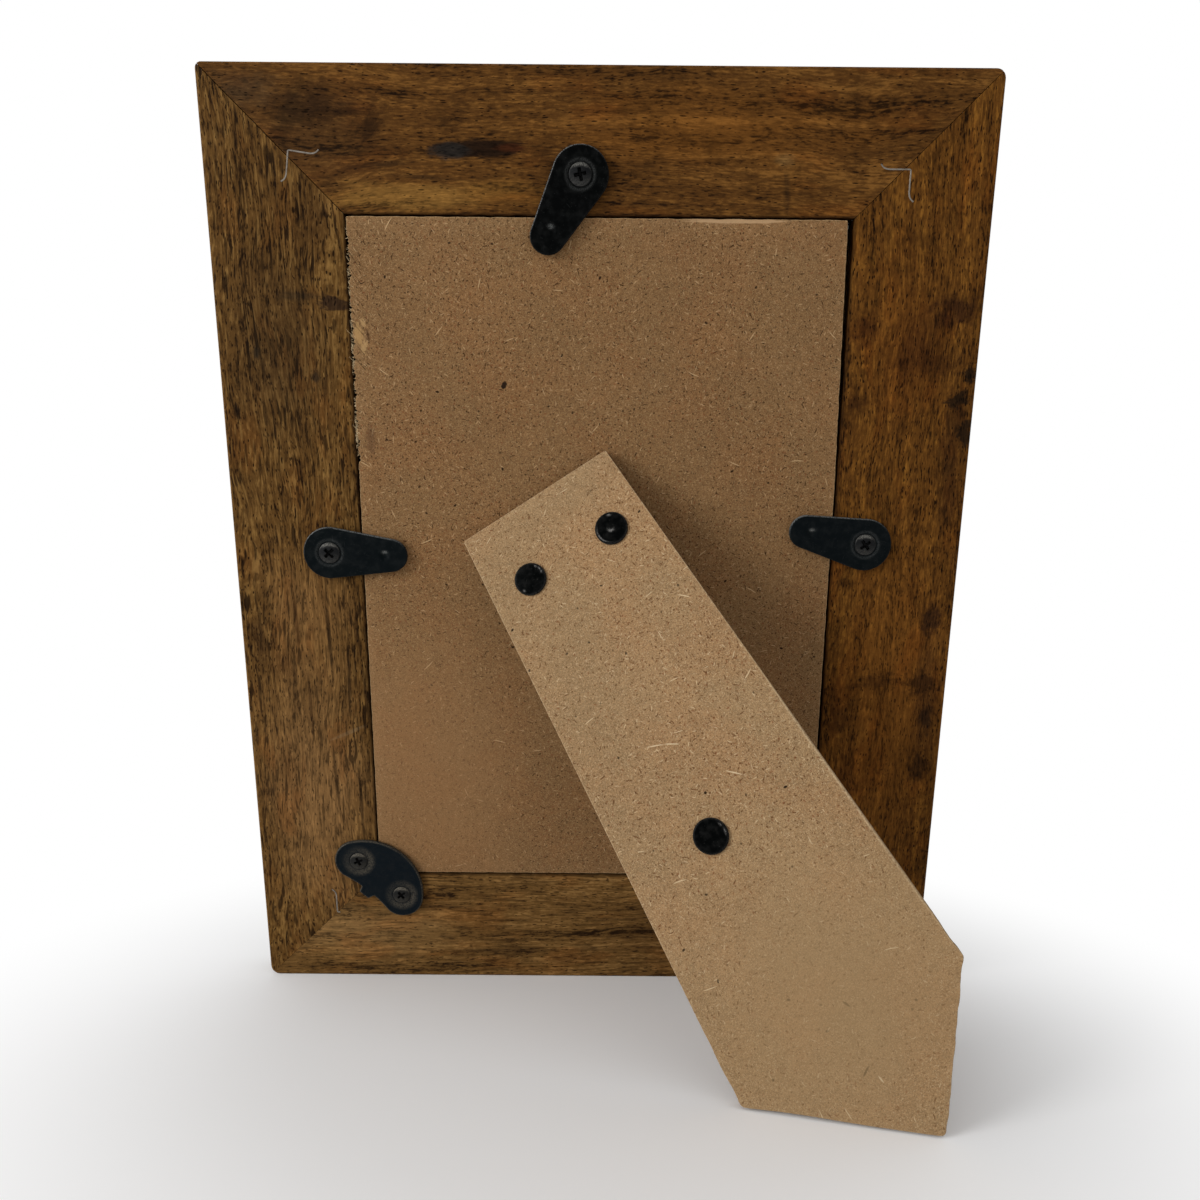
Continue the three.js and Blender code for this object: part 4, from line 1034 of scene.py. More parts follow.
def fibre_tufts(count, seed):
    """Thin bent hairs: each starts on the torn edge and follows a short random curve. A row is a
    place along one hair, a column one of the sides round it, thinner towards the tip."""
    rng = np.random.default_rng(seed)
    sides, steps = 5, 6
    clump = np.r_[rng.uniform(TORN_FROM, TORN_TO, 12), TUFT_PLACES]
    near_clump = rng.choice(clump, count) + rng.normal(0, 1.1, count)
    anywhere = rng.uniform(TORN_FROM, TORN_TO, count)
    along = np.where(rng.random(count) < NEAR_A_CLUMP, near_clump, anywhere)
    along = np.clip(along, TORN_FROM - 4, TORN_TO)
    start = np.stack([board_low[0] + rng.uniform(-0.05, 0.4, count), along,
                      board_high[2] - rng.uniform(0.0, 0.5, count)], -1)
    length = rng.gamma(3.0, 0.28, count).clip(0.3, 2.0)
    heading = rng.normal(math.pi, 0.75, count)
    lift = rng.uniform(-0.1, 0.5, count)
    bend = rng.normal(0, 1.1, count)
    t = np.linspace(0, 1, steps)[:, None]
    angle = heading + bend * t
    step = length / (steps - 1)
    run = np.stack([np.cos(angle) * step, np.sin(angle) * step, lift * step * (1 - t)], -1)
    line = start + np.cumsum(run, 0) - run[0]
    radius = rng.uniform(0.04, 0.10, count) * (1 - 0.7 * t)
    round_angle = np.linspace(0, 2 * np.pi, sides, endpoint=False)
    cross = np.stack([-np.sin(angle), np.cos(angle), 0 * angle], -1)
    ring = (np.cos(round_angle)[:, None] * cross[:, :, None]
            + np.sin(round_angle)[:, None] * np.array([0.0, 0.0, 1.0]))
    points = line[:, :, None] + radius[:, :, None, None] * ring
    return [Grid(points[:, k], values={"corner": 1.0}) for k in range(count)]


mesh = mesh_of("board_torn_fibres", back, fibre_tufts(count=300, seed=3), angle=80)
add_piece("board_torn_fibres", mesh, torn_finish, [], "frame_body")

# %% [markdown]
# Turn buttons, corner plates and rivets are pressed steel under black paint. The paint is a satin blue-black, thin
# on the edges, with dust and fine scuffs. Where a mesh says that it is near an edge or round a screw, the paint
# shows brown-grey metal through it. The same pale colour is painted in as highlights where edges, dimples and
# heads face the lamp, and a mesh can also mark a recess that is painted near-black as shade.


# %% Black paint
def make_paint():
    tree, g, given, result = new_group(
        "black_paint",
        {"Vector": ("vector", (0, 0, 0)), "Paint": ("color", (0, 0, 0, 1)),
         "Bare": ("color", (0.2, 0.2, 0.2, 1)), "Wear and highlight": ("value", 0.0), "Recess shade": ("value", 0.0),
         "Dust": ("value", 0.2), "Gloss": ("value", 0.4)},
        {"Color": "color", "Roughness": "value", "Metal": "value", "Height": "value"})
    p = given["Vector"]
    cloud = g.noise(p, 0.5, 4.0, 0.6)
    grit = g.noise(p, 4.0, 3.0, 0.7)
    worn = g.times(given["Wear and highlight"], g.smooth(grit, 0.36, 0.6))
    dust = g.group(FLECKS, {"Vector": p, "Cells": 1.1, "Length": 0.3, "Width": 0.14,
                            "Share": given["Dust"]})["Mask"]
    scuff = g.group(FLECKS, {"Vector": p, "Cells": 0.3, "Length": 2.2, "Width": 0.09,
                             "Bend": 0.3, "Share": given["Dust"]})["Mask"]
    color = g.mix(g.smooth(cloud, 0.4, 0.75, 0.0, 0.02), given["Paint"], given["Bare"])
    color = g.mix(g.times(g.math("MAXIMUM", dust, scuff), 0.07), color, given["Bare"])
    # The wear input holds real wear and painted highlights alike, and both show the pale bare colour here
    color = g.mix(g.times(worn, 0.85), color, given["Bare"])
    rough = g.math("MULTIPLY_ADD", cloud, 0.25, given["Gloss"])
    # Painted shade: where the mesh marks a sunk recess, such as a screw's cross, the colour is made near-black
    result("Color", g.mix(given["Recess shade"], color, (0.0008, 0.0008, 0.0008, 1)))
    result("Roughness", g.math("MULTIPLY_ADD", worn, 0.1, rough))
    result("Metal", g.times(worn, 0.35))
    result("Height", g.math("MULTIPLY_ADD", grit, 0.012, g.times(worn, -0.02)))
    return tree


PAINT = make_paint()


def paint_material(name, axes, paint, bare, dust, gloss, **settings):
    material, g, shader = new_material(name, **settings)
    made = g.group(PAINT, {"Vector": g.place(axes), "Paint": paint, "Bare": bare, "Dust": dust,
                           "Gloss": gloss, "Wear and highlight": g.attribute("worn"),
                           "Recess shade": g.attribute("sunk")})
    g.feed_all(shader, Base_Color=made["Color"], Roughness=made["Roughness"],
               Normal=g.bump(made["Height"]))
    if "Metallic" not in settings:
        g.feed(shader["Metallic"], made["Metal"])
    return material


button_paint = paint_material("black_paint_buttons", back, tone(10, 15, 17), tone(132, 134, 132),
                              0.2, 0.24, Specular_IOR_Level=0.03)
# The top button gets its own darker copy of the button paint, with less sheen: painted shade
top_button_shaded_paint = paint_material("black_paint_top_button_shaded", back, tone(6, 7, 7), tone(132, 134, 132),
                           0.2, 0.24, Specular_IOR_Level=0.02)
plate_paint = paint_material("black_paint_plates", back, tone(14, 21, 26), tone(112, 104, 90),
                             0.35, 0.28, Specular_IOR_Level=0.04)
rivet_paint = paint_material("black_paint_rivets", leg_axes, tone(5, 6, 6), tone(150, 148, 144),
                             0.2, 0.12, Specular_IOR_Level=0.02, Metallic=0.0)
print("paint:", button_paint.name, plate_paint.name, rivet_paint.name)

# %% [markdown]
# A turn button is a drop cut from sheet: a round head on the screw, a smaller round tip over the
# board. The press also dished it round the screw and dimpled it near the tip. Height is worked
# out at every point from its distance to the outline, the screw and the dimple, so one formula
# gives the rounded edge, the dish and the dimple together.


# %% Pressed sheet
def distance_to(outline, points):
    """Shortest distance from each point to a closed outline. For each stretch of the outline the
    nearest place on it is found, and the least of all these distances is kept."""
    start, run = outline, np.roll(outline, -1, 0) - outline
    away = points[..., None, :] - start
    share = np.clip((away * run).sum(-1) / (run * run).sum(-1), 0, 1)
    return np.linalg.norm(away - share[..., None] * run, axis=-1).min(-1)


def rounded_edge(distance, radius):
    """How far a rounded edge falls below the face: the gap under a quarter circle."""
    inside = np.clip(radius - distance, 0, radius)
    return radius - np.sqrt(np.maximum(radius ** 2 - inside ** 2, 0))


def ring_patch(centre, hole, boundary, rows):
    """Rows go from a round hole out to the boundary, closer together at both ends; columns keep
    the direction of each boundary point."""
    away = boundary - centre
    inner = centre + hole * away / np.linalg.norm(away, axis=1, keepdims=True)
    return inner + crowded_ends(rows)[:, None, None] * (boundary - inner)


def beads(distance, radius, width, height):
    """A small raised ring: a bell curve of the distance from its radius."""
    return height * np.exp(-((distance - radius) / width) ** 2)


# %% Turn buttons
BUTTON_THICK = 0.9
HEAD_RADIUS = 7.15
TIP_RADIUS = 4.6
BUTTON_LENGTH = 28.5
BUTTON_HOLE = 1.7
BUTTON_TURNS = {"top": -119.5, "left": -2.2, "right": 168.0}
DISH_RIM = 3.0
DISH_DROP = 0.15
DISH_SLOPE = 0.5
PIP_INSET = 1.6
PIP_RADIUS = 1.6
PIP_DEPTH = 0.45
UPPER_ARRIS = 0.3
LOWER_ARRIS = 0.15
OUTLINE_STEP = 0.3
BUTTON_ROWS = 70
GLINT_RISE = 0.9
GLINT_SIZE = (0.6, 0.4)
# Up and left: the side of the painted edge highlight, towards the lamp
LIT_UP, LIT_LEFT = 0.92, 0.4
# Radius, width and height of the raised ring round the dish, and of the rubbed ring in it
DISH_RING = (3.8, 0.22, 0.05)
RUBBED_RING = (3.6, 0.4, 0.14)
BUTTON_CENTRES = BUTTON_LENGTH - HEAD_RADIUS - TIP_RADIUS


def drop_outline(step):
    """Two circles and the two straight lines that touch both."""
    slope = math.degrees(math.acos((HEAD_RADIUS - TIP_RADIUS) / BUTTON_CENTRES))
    head = arc((0, 0), HEAD_RADIUS, slope, 360 - slope, 90)
    tip = arc((BUTTON_CENTRES, 0), TIP_RADIUS, -slope, slope, 60)
    return even_steps(np.vstack([head, tip]), step)


def button_press(flat):
    """Height that the press gave each point: dish, ring round the dish, and dimple."""
    from_screw = np.linalg.norm(flat, axis=-1)
    from_pip = np.linalg.norm(flat - [BUTTON_CENTRES - PIP_INSET, 0], axis=-1)
    cone = np.where(from_screw < DISH_RIM, DISH_DROP + (DISH_RIM - from_screw) * DISH_SLOPE, 0)
    step = DISH_DROP * (1 - rise(from_screw, DISH_RIM, DISH_RIM + 0.7)) * (from_screw >= DISH_RIM)
    pip = PIP_DEPTH * np.clip(1 - (from_pip / PIP_RADIUS) ** 2, 0, 1) ** 1.5
    return beads(from_screw, *DISH_RING) - cone - step - pip


def painted_pip_highlight(flat, turn):
    """A painted highlight on the upper lip of the dimple: a small pale spot a little above the dimple's middle."""
    above = GLINT_RISE * np.array([math.sin(turn), math.cos(turn)])
    away = flat - [BUTTON_CENTRES - PIP_INSET, 0] - above
    across = away @ [math.cos(turn), -math.sin(turn)]
    upwards = away @ [math.sin(turn), math.cos(turn)]
    return 1.1 * np.exp(-(across / GLINT_SIZE[0]) ** 2 - (upwards / GLINT_SIZE[1]) ** 2)


def painted_edge_highlight(flat, turn):
    """A painted highlight on the edges that face the lamp: how far each point's own edge faces up and to the left
    as the frame stands, from the direction away from the button's middle line, turned with the button, dotted with
    the lamp's side."""
    on_line = np.stack([np.clip(flat[..., 0], 0, BUTTON_CENTRES), 0 * flat[..., 0]], -1)
    away = flat - on_line
    away = away / np.maximum(np.linalg.norm(away, axis=-1, keepdims=True), 1e-6)
    c, s = math.cos(turn), math.sin(turn)
    right, up = away @ [c, -s], away @ [s, c]
    return np.clip(LIT_UP * up - LIT_LEFT * right, 0, 1) ** 1.5


def button_grid(top, turn, seed):
    """A closed ring: the upper face from the hole to the edge, then the lower face back."""
    outline = drop_outline(OUTLINE_STEP)
    flat = ring_patch(np.zeros(2), BUTTON_HOLE, outline, BUTTON_ROWS)
    edge = distance_to(outline, flat)
    pressed = button_press(flat)
    uneven = wander(flat[..., 0], 9, 0.02, seed)
    upper = top + pressed + uneven - rounded_edge(edge, UPPER_ARRIS)
    lower = top + pressed + uneven - BUTTON_THICK + rounded_edge(edge, LOWER_ARRIS)
    faces = [lifted(flat, height) for height in (upper, lower)]
    from_screw = np.linalg.norm(flat, axis=-1)
    lit = painted_edge_highlight(flat, turn)
    # Painted highlight on the edges that face the lamp, over a little real wear along every edge and round the
    # screw
    worn = (0.06 + 1.0 * lit) * (1 - rise(edge, 0.05, 0.4)) + beads(from_screw, *RUBBED_RING)
    # Painted highlight on the upper lip of the dimple
    worn = worn + painted_pip_highlight(flat, turn)
    return Grid(np.concatenate([faces[0], faces[1][::-1]]), ring_rows=True, capped=False,
                values={"worn": np.concatenate([worn, worn[::-1]])})


for seed, (side, turn) in enumerate(BUTTON_TURNS.items()):
    button, screw = f"turn_button_{side}", f"pivot_screw_{side}"
    turn = math.radians(turn)
    grid = button_grid(box_in(back, button)[1][2], turn, seed)
    grid = turned_to(grid, turn, middle_in(back, screw))
    # The top button takes the darker copy of the paint, which paints shade on it
    paint = top_button_shaded_paint if side == "top" else button_paint
    add_grids(button, "painted", back, [grid], paint, angle=50)

# %% [markdown]
# Each screw has a raised round head with a cross pressed into it. A head turned on a lathe would
# have no cross, so its height is worked out on a round grid: the dome, less the cross where a
# point lies in one of two arms. Under the rim the same grid runs on as cone, shank and point.


# %% Screws
RIM_RADIUS, RIM_DROP = 0.18, 0.16
CONE_SLOPE = 0.5
POINT_LENGTH = 3
CROSS_SLOPE = 0.14


def cross_mask(x, y, length, width):
    """1 inside two crossed arms and 0 outside, with short slopes between."""
    def arm(a, b):
        along = rise(length / 2 - np.abs(a), 0, CROSS_SLOPE * 1.6)
        return along * rise(width / 2 - np.abs(b), -CROSS_SLOPE / 2, CROSS_SLOPE)
    return np.maximum(arm(x, y), arm(y, x))


def screw_grid(head, shank, dome, cross, top, bottom, turn):
    """Rows from the middle of the head over its rim, down the cone and shank to the point; columns go round. Only
    the rows of the head's face have the cross. The rim is a little worn all round. A painted highlight makes the
    rim much paler at the top and adds a pale half-moon spot inside it, where the lamp's light falls, and painted
    light makes the lower part of the head a little paler. The cross is marked as sunk, which the paint makes
    near-black as painted shade."""
    crown = np.linspace(0, head - RIM_RADIUS, 34)
    face = top - dome * (crown / head) ** 2
    rim = arc((head - RIM_RADIUS, top - dome - RIM_DROP), RIM_RADIUS, 80, -20, 6)
    seat = rim[-1, 1] - (head - shank) * CONE_SLOPE
    rest = np.array([[shank, seat], [shank, bottom + POINT_LENGTH], [shank * 0.3, bottom + 0.5],
                     [0, bottom]])
    radius = np.r_[crown, rim[:, 0], rest[:, 0]][:, None]
    height = np.r_[face, rim[:, 1], rest[:, 1]][:, None]
    angle = np.linspace(0, 2 * np.pi, 120, endpoint=False)
    x, y = radius * np.cos(angle), radius * np.sin(angle)
    length, width, depth = cross
    on_face = (np.arange(len(radius)) < len(crown))[:, None]
    mask = cross_mask(x, y, length, width) * on_face
    well = rise(-np.hypot(x, y), -0.75, -0.25) * on_face
    height = height - depth * mask - 0.25 * well
    c, s = math.cos(turn), math.sin(turn)
    points = np.stack([x * c - y * s, x * s + y * c, height], -1)
    # Painted highlight: the rim is made much paler at the top
    upper = rise(points[..., 1] / head, 0.1, 0.9)
    worn = (1 - rise(np.abs(radius - head), 0, 0.45)) * (0.06 + 0.94 * upper) * (1 - mask)
    # Painted light: the lower part of the head is made a little paler
    worn = worn + 0.26 * rise(-points[..., 1] / head, -0.2, 0.9) * (1 - mask) * on_face
    # Painted highlight: a pale half-moon spot inside the top of the rim
    painted_crescent_highlight = np.exp(-((radius / head - 0.8) / 0.12) ** 2) * rise(points[..., 1] / head, 0.45, 0.8)
    worn = worn + 1.1 * painted_crescent_highlight * (1 - mask) * on_face
    return Grid(points, capped=False, values={"worn": worn, "sunk": mask})


screw_steel = paint_material("dark_steel_screws", back, tone(20, 21, 22), tone(120, 118, 112),
                             0.5, 0.30, Specular_IOR_Level=0.1)
plate_screw_steel = paint_material("dull_steel_screws", back, tone(28, 28, 27), tone(120, 114, 102),
                                   0.6, 0.34, Specular_IOR_Level=0.1)
# Radius of the head and of the shank, height of the dome, and the cross: length, width and depth
PIVOT_SCREW = (2.9, 1.45, 0.5, (3.3, 0.85, 0.75))
PLATE_SCREW = (2.6, 1.3, 0.4, (2.8, 0.75, 0.65))
CROSS_TURNS = {"top": 12, "left": 44, "right": 38, "outer": 24, "inner": 38}


def add_screw(node, sizes, turn, steel):
    lowest, highest = box_in(back, node)
    grid = screw_grid(*sizes, highest[2], lowest[2], math.radians(turn))
    grid = turned_to(grid, 0, middle_in(back, node))
    add_grids(node, "steel", back, [grid], steel, angle=35)


for side in ("top", "left", "right"):
    add_screw(f"pivot_screw_{side}", PIVOT_SCREW, CROSS_TURNS[side], screw_steel)
for side in ("left", "right"):
    for end in ("outer", "inner"):
        add_screw(f"plate_screw_{side}_{end}", PLATE_SCREW, CROSS_TURNS[end], plate_screw_steel)

# %% [markdown]
# A corner plate is a half moon with two screws, so no single ring of points fits it. Two ring
# patches go round the screws and one block of points fills the middle. They share the points
# where they meet, so that welding closes the seams.

# %% Corner plates
PLATE_THICK = 1.1
PLATE_HOLE = 1.55
PLATE_SCREWS = 16.6
LOBE_SPACING = 18.0
LOBE_RADIUS = 6.2
LOBE_DROP = 0.4
CROWN = 10.4
WAIST = 6.0
TOOTH = (3.4, 1.9)
CUT_AT = 4.4
PLATE_ARRIS = 0.35
PLATE_DISH = 2.75
BLOCK_ROWS, BLOCK_COLUMNS = 46, 61
LOBE_ROWS = 34
PLATE_STEP = 0.2
# Distance, width and height of the groove along the edge and of the ring round each screw
EDGE_GROOVE = (1.15, 0.18, 0.05)
PLATE_RING = (3.0, 0.2, 0.05)


def plate_outline():
    """Crown arc, left lobe, flat side with a small tooth, right lobe, walked anticlockwise."""
    lobe = LOBE_SPACING / 2
    lobe_up = WAIST - LOBE_RADIUS - LOBE_DROP
    gap = CROWN - LOBE_RADIUS
    middle = (gap ** 2 - lobe ** 2 - lobe_up ** 2) / (2 * (gap - lobe_up))
    lean = math.degrees(math.atan2(lobe_up - middle, lobe))
    half, depth = TOOTH[0] / 2, TOOTH[1]
    foot = np.array([(-half * 1.5 - 1, -WAIST), (-half * 1.4, -WAIST), (-half, -WAIST - depth),
                     (half, -WAIST - depth), (half * 1.4, -WAIST), (half * 1.5 + 1, -WAIST)])
    return even_steps(np.vstack([
        arc((0, middle), CROWN - middle, lean, 180 - lean, 60),
        arc((-lobe, lobe_up), LOBE_RADIUS, 180 - lean, 270, 40),
        curve((-lobe, lobe_up - LOBE_RADIUS), (-lobe / 2, -WAIST), (-half * 1.5 - 1, -WAIST), 12),
        foot,
        curve((half * 1.5 + 1, -WAIST), (lobe / 2, -WAIST), (lobe, lobe_up - LOBE_RADIUS), 12),
        arc((lobe, lobe_up), LOBE_RADIUS, -90, lean, 40)]), PLATE_STEP)


def plate_patches():
    """The plate's outline, the middle block, and for each side the lobe's outline and its seam."""
    outline = plate_outline()
    x = np.linspace(-CUT_AT, CUT_AT, BLOCK_COLUMNS)
    upper = outline[outline[:, 1] > 0]
    lower = outline[(outline[:, 1] < -3) & (np.abs(outline[:, 0]) < LOBE_SPACING / 2)]
    top = np.interp(x, *upper[np.argsort(upper[:, 0])].T)
    bottom = np.interp(x, *lower[np.argsort(lower[:, 0])].T)
    up = bottom + crowded_ends(BLOCK_ROWS)[:, None] * (top - bottom)
    block = np.stack([np.broadcast_to(x, up.shape), up], -1)
    lobes = [outline[side * outline[:, 0] > CUT_AT + 0.05] for side in (-1, 1)]
    return outline, block, [(-1, lobes[0], block[:, 0]), (1, lobes[1], block[:, -1])]


def seam_ring(side, part, seam):
    """One closed boundary: the lobe's outline and the seam, in order of direction from the hole."""
    loop = np.vstack([part, seam])
    away = loop - [side * PLATE_SCREWS / 2, 0]
    return loop[np.argsort(np.arctan2(away[:, 1], away[:, 0]))]


def plate_height(flat, outline, top):
    """Upper and lower height, and a pale mask, at flat points: rounded edge, groove, two dishes. The mask runs all
    along the edge, as edge wear that also stands in for a painted highlight on the bright rim, and makes a pale
    ring round each screw, paler on one side.
    """
    edge = distance_to(outline, flat)
    upper = top - rounded_edge(edge, PLATE_ARRIS) - beads(edge, *EDGE_GROOVE)
    # Pale along the whole edge: edge wear that also stands in for a painted highlight on the bright rim
    worn = 0.7 * (1 - rise(edge, 0.1, 0.5))
    lower = top - PLATE_THICK + rounded_edge(edge, LOWER_ARRIS)
    for end in (-1, 1):
        from_screw = np.linalg.norm(flat - [end * PLATE_SCREWS / 2, 0], axis=-1)
        dish = np.clip(PLATE_DISH - from_screw, 0, None) * DISH_SLOPE
        upper = upper - dish + beads(from_screw, *PLATE_RING)
        # A pale ring round each screw, paler on one side
        ring = rise(from_screw, 2.2, 3.4) * (1 - rise(from_screw, 3.6, 5.4))
        sideways = (flat[..., 0] - end * PLATE_SCREWS / 2) / np.maximum(from_screw, 0.1)
        worn = worn + 0.6 * ring * (0.65 + 0.35 * sideways)
    return upper, lower, worn


def plate_grids(top):
    outline, block, rings = plate_patches()
    grids = []

    def lay(flat, ring_columns):
        upper, lower, worn = plate_height(flat, outline, top)
        for height in (upper, lower):
            grids.append(Grid(lifted(flat, height), False, ring_columns, False, {"worn": worn}))
        return upper, lower

    def wall(line, ring):
        upper, lower, _ = plate_height(line, outline, top)
        rows = [lifted(line, height) for height in (upper, lower)]
        grids.append(Grid(np.stack(rows), False, ring, False, {"worn": 0.5}))

    lay(block, False)
    wall(block[0], False)
    wall(block[-1], False)
    for side, part, seam in rings:
        loop = seam_ring(side, part, seam)
        centre = np.array([side * PLATE_SCREWS / 2, 0])
        flat = ring_patch(centre, PLATE_HOLE, loop, LOBE_ROWS)
        lay(flat, True)
        wall(flat[0], True)
        on_seam = np.abs(side * loop[:, 0] - CUT_AT) < 1e-6
        start = int(np.flatnonzero(on_seam & ~np.roll(on_seam, -1))[0])
        open_part = np.roll(loop, -start, 0)
        on_seam = np.roll(on_seam, -start)
        end = int(np.flatnonzero(on_seam[1:])[0]) + 2
        wall(open_part[:end], False)
    return grids


for side in ("left", "right"):
    node = f"corner_plate_{side}"
    first, second = (middle_in(back, f"plate_screw_{side}_{end}")[:2] for end in ("outer", "inner"))
    first, second = sorted((first, second), key=lambda p: p[0])
    run = second - first
    grids = plate_grids(box_in(back, node)[1][2])
    turn = math.atan2(run[1], run[0])
    grids = [turned_to(grid, turn, (first + second) / 2) for grid in grids]
    add_grids(node, "painted", back, grids, plate_paint, angle=50)

# %% [markdown]
# Rivets are turned shapes, so a profile of radius and height goes once round. Hammering leaves a head that isn't
# quite true, and its shine is painted on as pale highlight spots. V-nails are bent strips driven in edgeways, so
# that only a thin grey line shows across each mitre.


# %% Rivets on the leg
RIVET_SHANK = 1.6
RIVET_CROWN = 0.86
RIVET_DOME = 0.16
RIVET_HEAD = 0.9


def rivet_grid(radius, low, high, seed, painted_highlights):
    """A domed head on a plain shank. The dome is uneven by a few hundredths, and the paint is a little worn round
    the rim. Each glint is a painted highlight, a pale spot on the head: share of the radius, direction in degrees,
    its width and its spread in degrees."""
    angle = np.linspace(0, 2 * np.pi, 96, endpoint=False)
    crown = np.linspace(0, radius * RIVET_CROWN, 16)
    face = high - RIVET_DOME * (crown / radius) ** 2
    shoulder = curve((crown[-1], face[-1]), (radius, face[-1] - 0.02), (radius, face[-1] - 0.5), 9)
    under = high - RIVET_HEAD
    profile = np.vstack([np.stack([crown, face], -1), shoulder,
                         [[radius, under], [RIVET_SHANK, under], [RIVET_SHANK, low], [0, low]]])
    r, z = profile[:, :1], profile[:, 1:]
    tilt = wander(angle, 3, 0.015, seed) + 0.02 * np.sin(angle + seed)
    on_head = z > under + 0.1
    worn = 0.12 * np.exp(-((r - radius) / 0.3) ** 2) * on_head
    for reach, direction, width, spread in painted_highlights:
        off = (np.degrees(angle) - direction + 180) % 360 - 180
        spot = np.exp(-((r - reach * radius) / width) ** 2 - (off / spread) ** 2)
        worn = np.maximum(worn, spot * on_head)
    lift = tilt * (r / radius) * on_head
    return Grid(np.stack([r * np.cos(angle), r * np.sin(angle), z + lift], -1), capped=False,
                values={"worn": worn})


# Painted highlights on each rivet's head; the spot near the middle of the right rivet is a pale chip in the paint
rivet_painted_highlights = {
    "left": [(0.84, 36, 0.16, 5), (0.86, 18, 0.18, 6), (0.84, 2, 0.16, 5), (0.80, 215, 0.2, 5)],
    "right": [(0.86, 195, 0.14, 30), (0.80, 70, 0.2, 8), (0.16, 240, 0.35, 60)],
    "middle": [(0.86, -10, 0.16, 9), (0.84, 22, 0.14, 6)]}
for seed, side in enumerate(("left", "right", "middle")):
    node = f"leg_rivet_{side}"
    lowest, highest = box_in(leg_axes, node)
    grid = rivet_grid((highest[0] - lowest[0]) / 2, lowest[2], highest[2], seed, rivet_painted_highlights[side])
    grid = turned_to(grid, 0, middle_in(leg_axes, node))
    add_grids(node, "painted", leg_axes, [grid], rivet_paint)

# %% V-nails
NAIL_ARM = 6.6
NAIL_HOOK = 1.6
NAIL_GAUGE = 0.42
NAIL_PROUD = 0.08
NAIL_DEPTH = 3.0
NAIL_BEND = 0.8
NAIL_SUNK = 0.5
NAIL_HOOK_ANGLE = math.radians(50)


def nail_grid(sunk_arm):
    """A rounded strip section carried along the bent line. Where an arm is driven under the
    surface, the whole section goes down with it."""
    run, lift = NAIL_HOOK * math.cos(NAIL_HOOK_ANGLE), NAIL_HOOK * math.sin(NAIL_HOOK_ANGLE)
    line = cut_corners([(NAIL_ARM + run, -lift), (NAIL_ARM, 0), (NAIL_ARM / 2, 0), (NAIL_BEND, 0),
                        (0, 0), (0, NAIL_BEND), (0, NAIL_ARM / 2), (0, NAIL_ARM),
                        (-lift, NAIL_ARM + run)], 3)
    half = NAIL_GAUGE / 2
    across = np.array([-half, -half, -half * 0.6, half * 0.6, half, half])
    shoulder = NAIL_PROUD - 0.1
    height = np.array([-NAIL_DEPTH, shoulder, NAIL_PROUD, NAIL_PROUD, shoulder, -NAIL_DEPTH])
    side = sides_of(line, closed=False)
    sink = sunk_arm * NAIL_SUNK * rise(line[:, 0], 0.6, 1.6)
    flat = line[:, None] + side[:, None] * across[:, None]
    return Grid(lifted(flat, height - sink[:, None]))


def steel_material(name, axes, color, dull, metallic, roughness):
    """Bare steel: a little darker and rougher in patches."""
    material, g, shader = new_material(name, Metallic=metallic)
    plane = g.place(axes)
    patches = g.noise(plane, 0.7, 4.0, 0.65)
    lines = g.stretched(plane, 0.3, 6.0, 3.0)
    g.feed_all(shader, Base_Color=g.mix(g.smooth(patches, 0.4, 0.75), color, dull),
               Roughness=g.math("MULTIPLY_ADD", patches, 0.3, roughness),
               Normal=g.bump(g.times(lines, 0.015)))
    return material


nail_steel = steel_material("bare_steel_nails", back, tone(140, 132, 121), tone(94, 86, 76),
                            0.35, 0.4)
hinge_steel = steel_material("zinc_steel_hinge", leg_axes, tone(150, 150, 146), tone(96, 94, 90),
                             0.9, 0.25)
NAIL_INSET = 21.8
nail_places = {"top_left": (-1, 1, 1.7, -98, 0), "top_right": (1, 1, -1.6, 180, 0),
               "bottom_left": (-1, -1, 0.1, 0, 1), "bottom_right": (1, -1, -0.4, 90, 0)}
for corner, (side_u, side_v, lift, turn, sunk) in nail_places.items():
    node = f"v_nail_{corner}"
    at = (side_u * (FRAME_WIDTH / 2 - NAIL_INSET), side_v * (FRAME_HEIGHT / 2 - NAIL_INSET) + lift)
    grid = turned_to(nail_grid(sunk), math.radians(turn), at)
    add_grids(node, "wire", back, [grid], nail_steel)

# %% [markdown]
# The hinge sits between leg and board and is seen only from the side. Its shape in CAD is
# already right, so a merged copy is enough: a fine bevel takes the hardness off its edges.


# %% Hinge leaves, pin and board rivets
def softened_copy(node, suffix, material, bevel):
    """The CAD node's own triangles with shared corners, and a small live bevel."""
    source = nodes[node].data
    corners = np.empty(len(source.loops), np.int32)
    source.loops.foreach_get("vertex_index", corners)
    mesh = bpy.data.meshes.new(f"{node}_{suffix}")
    mesh.from_pydata(vertices_of(node).tolist(), [], corners.reshape(-1, 3).tolist())
    weld(mesh, 2e-6)
    shade(mesh, 30)
    piece = add_piece(f"{node}_{suffix}", mesh, material, [node])
    if bevel:
        soften = piece.modifiers.new("edge", "BEVEL")
        soften.width = bevel * MM
        soften.segments = 2
        soften.limit_method = "ANGLE"
        soften.angle_limit = math.radians(40)
    return piece


for node in ("hinge_leaf_leg", "hinge_leaf_board"):
    softened_copy(node, "steel", hinge_steel, 0.1)
for node in ("hinge_pin", "board_rivet_left", "board_rivet_right"):
    softened_copy(node, "steel", nail_steel, 0)

# %% [markdown]
# Glass and picture sheet are plain flat pieces that show from the front. Their CAD solids are
# right as they are, so they keep them and only get a finish. Glass is clear with a trace of
# green. The sheet is bare paper with a faint tooth.

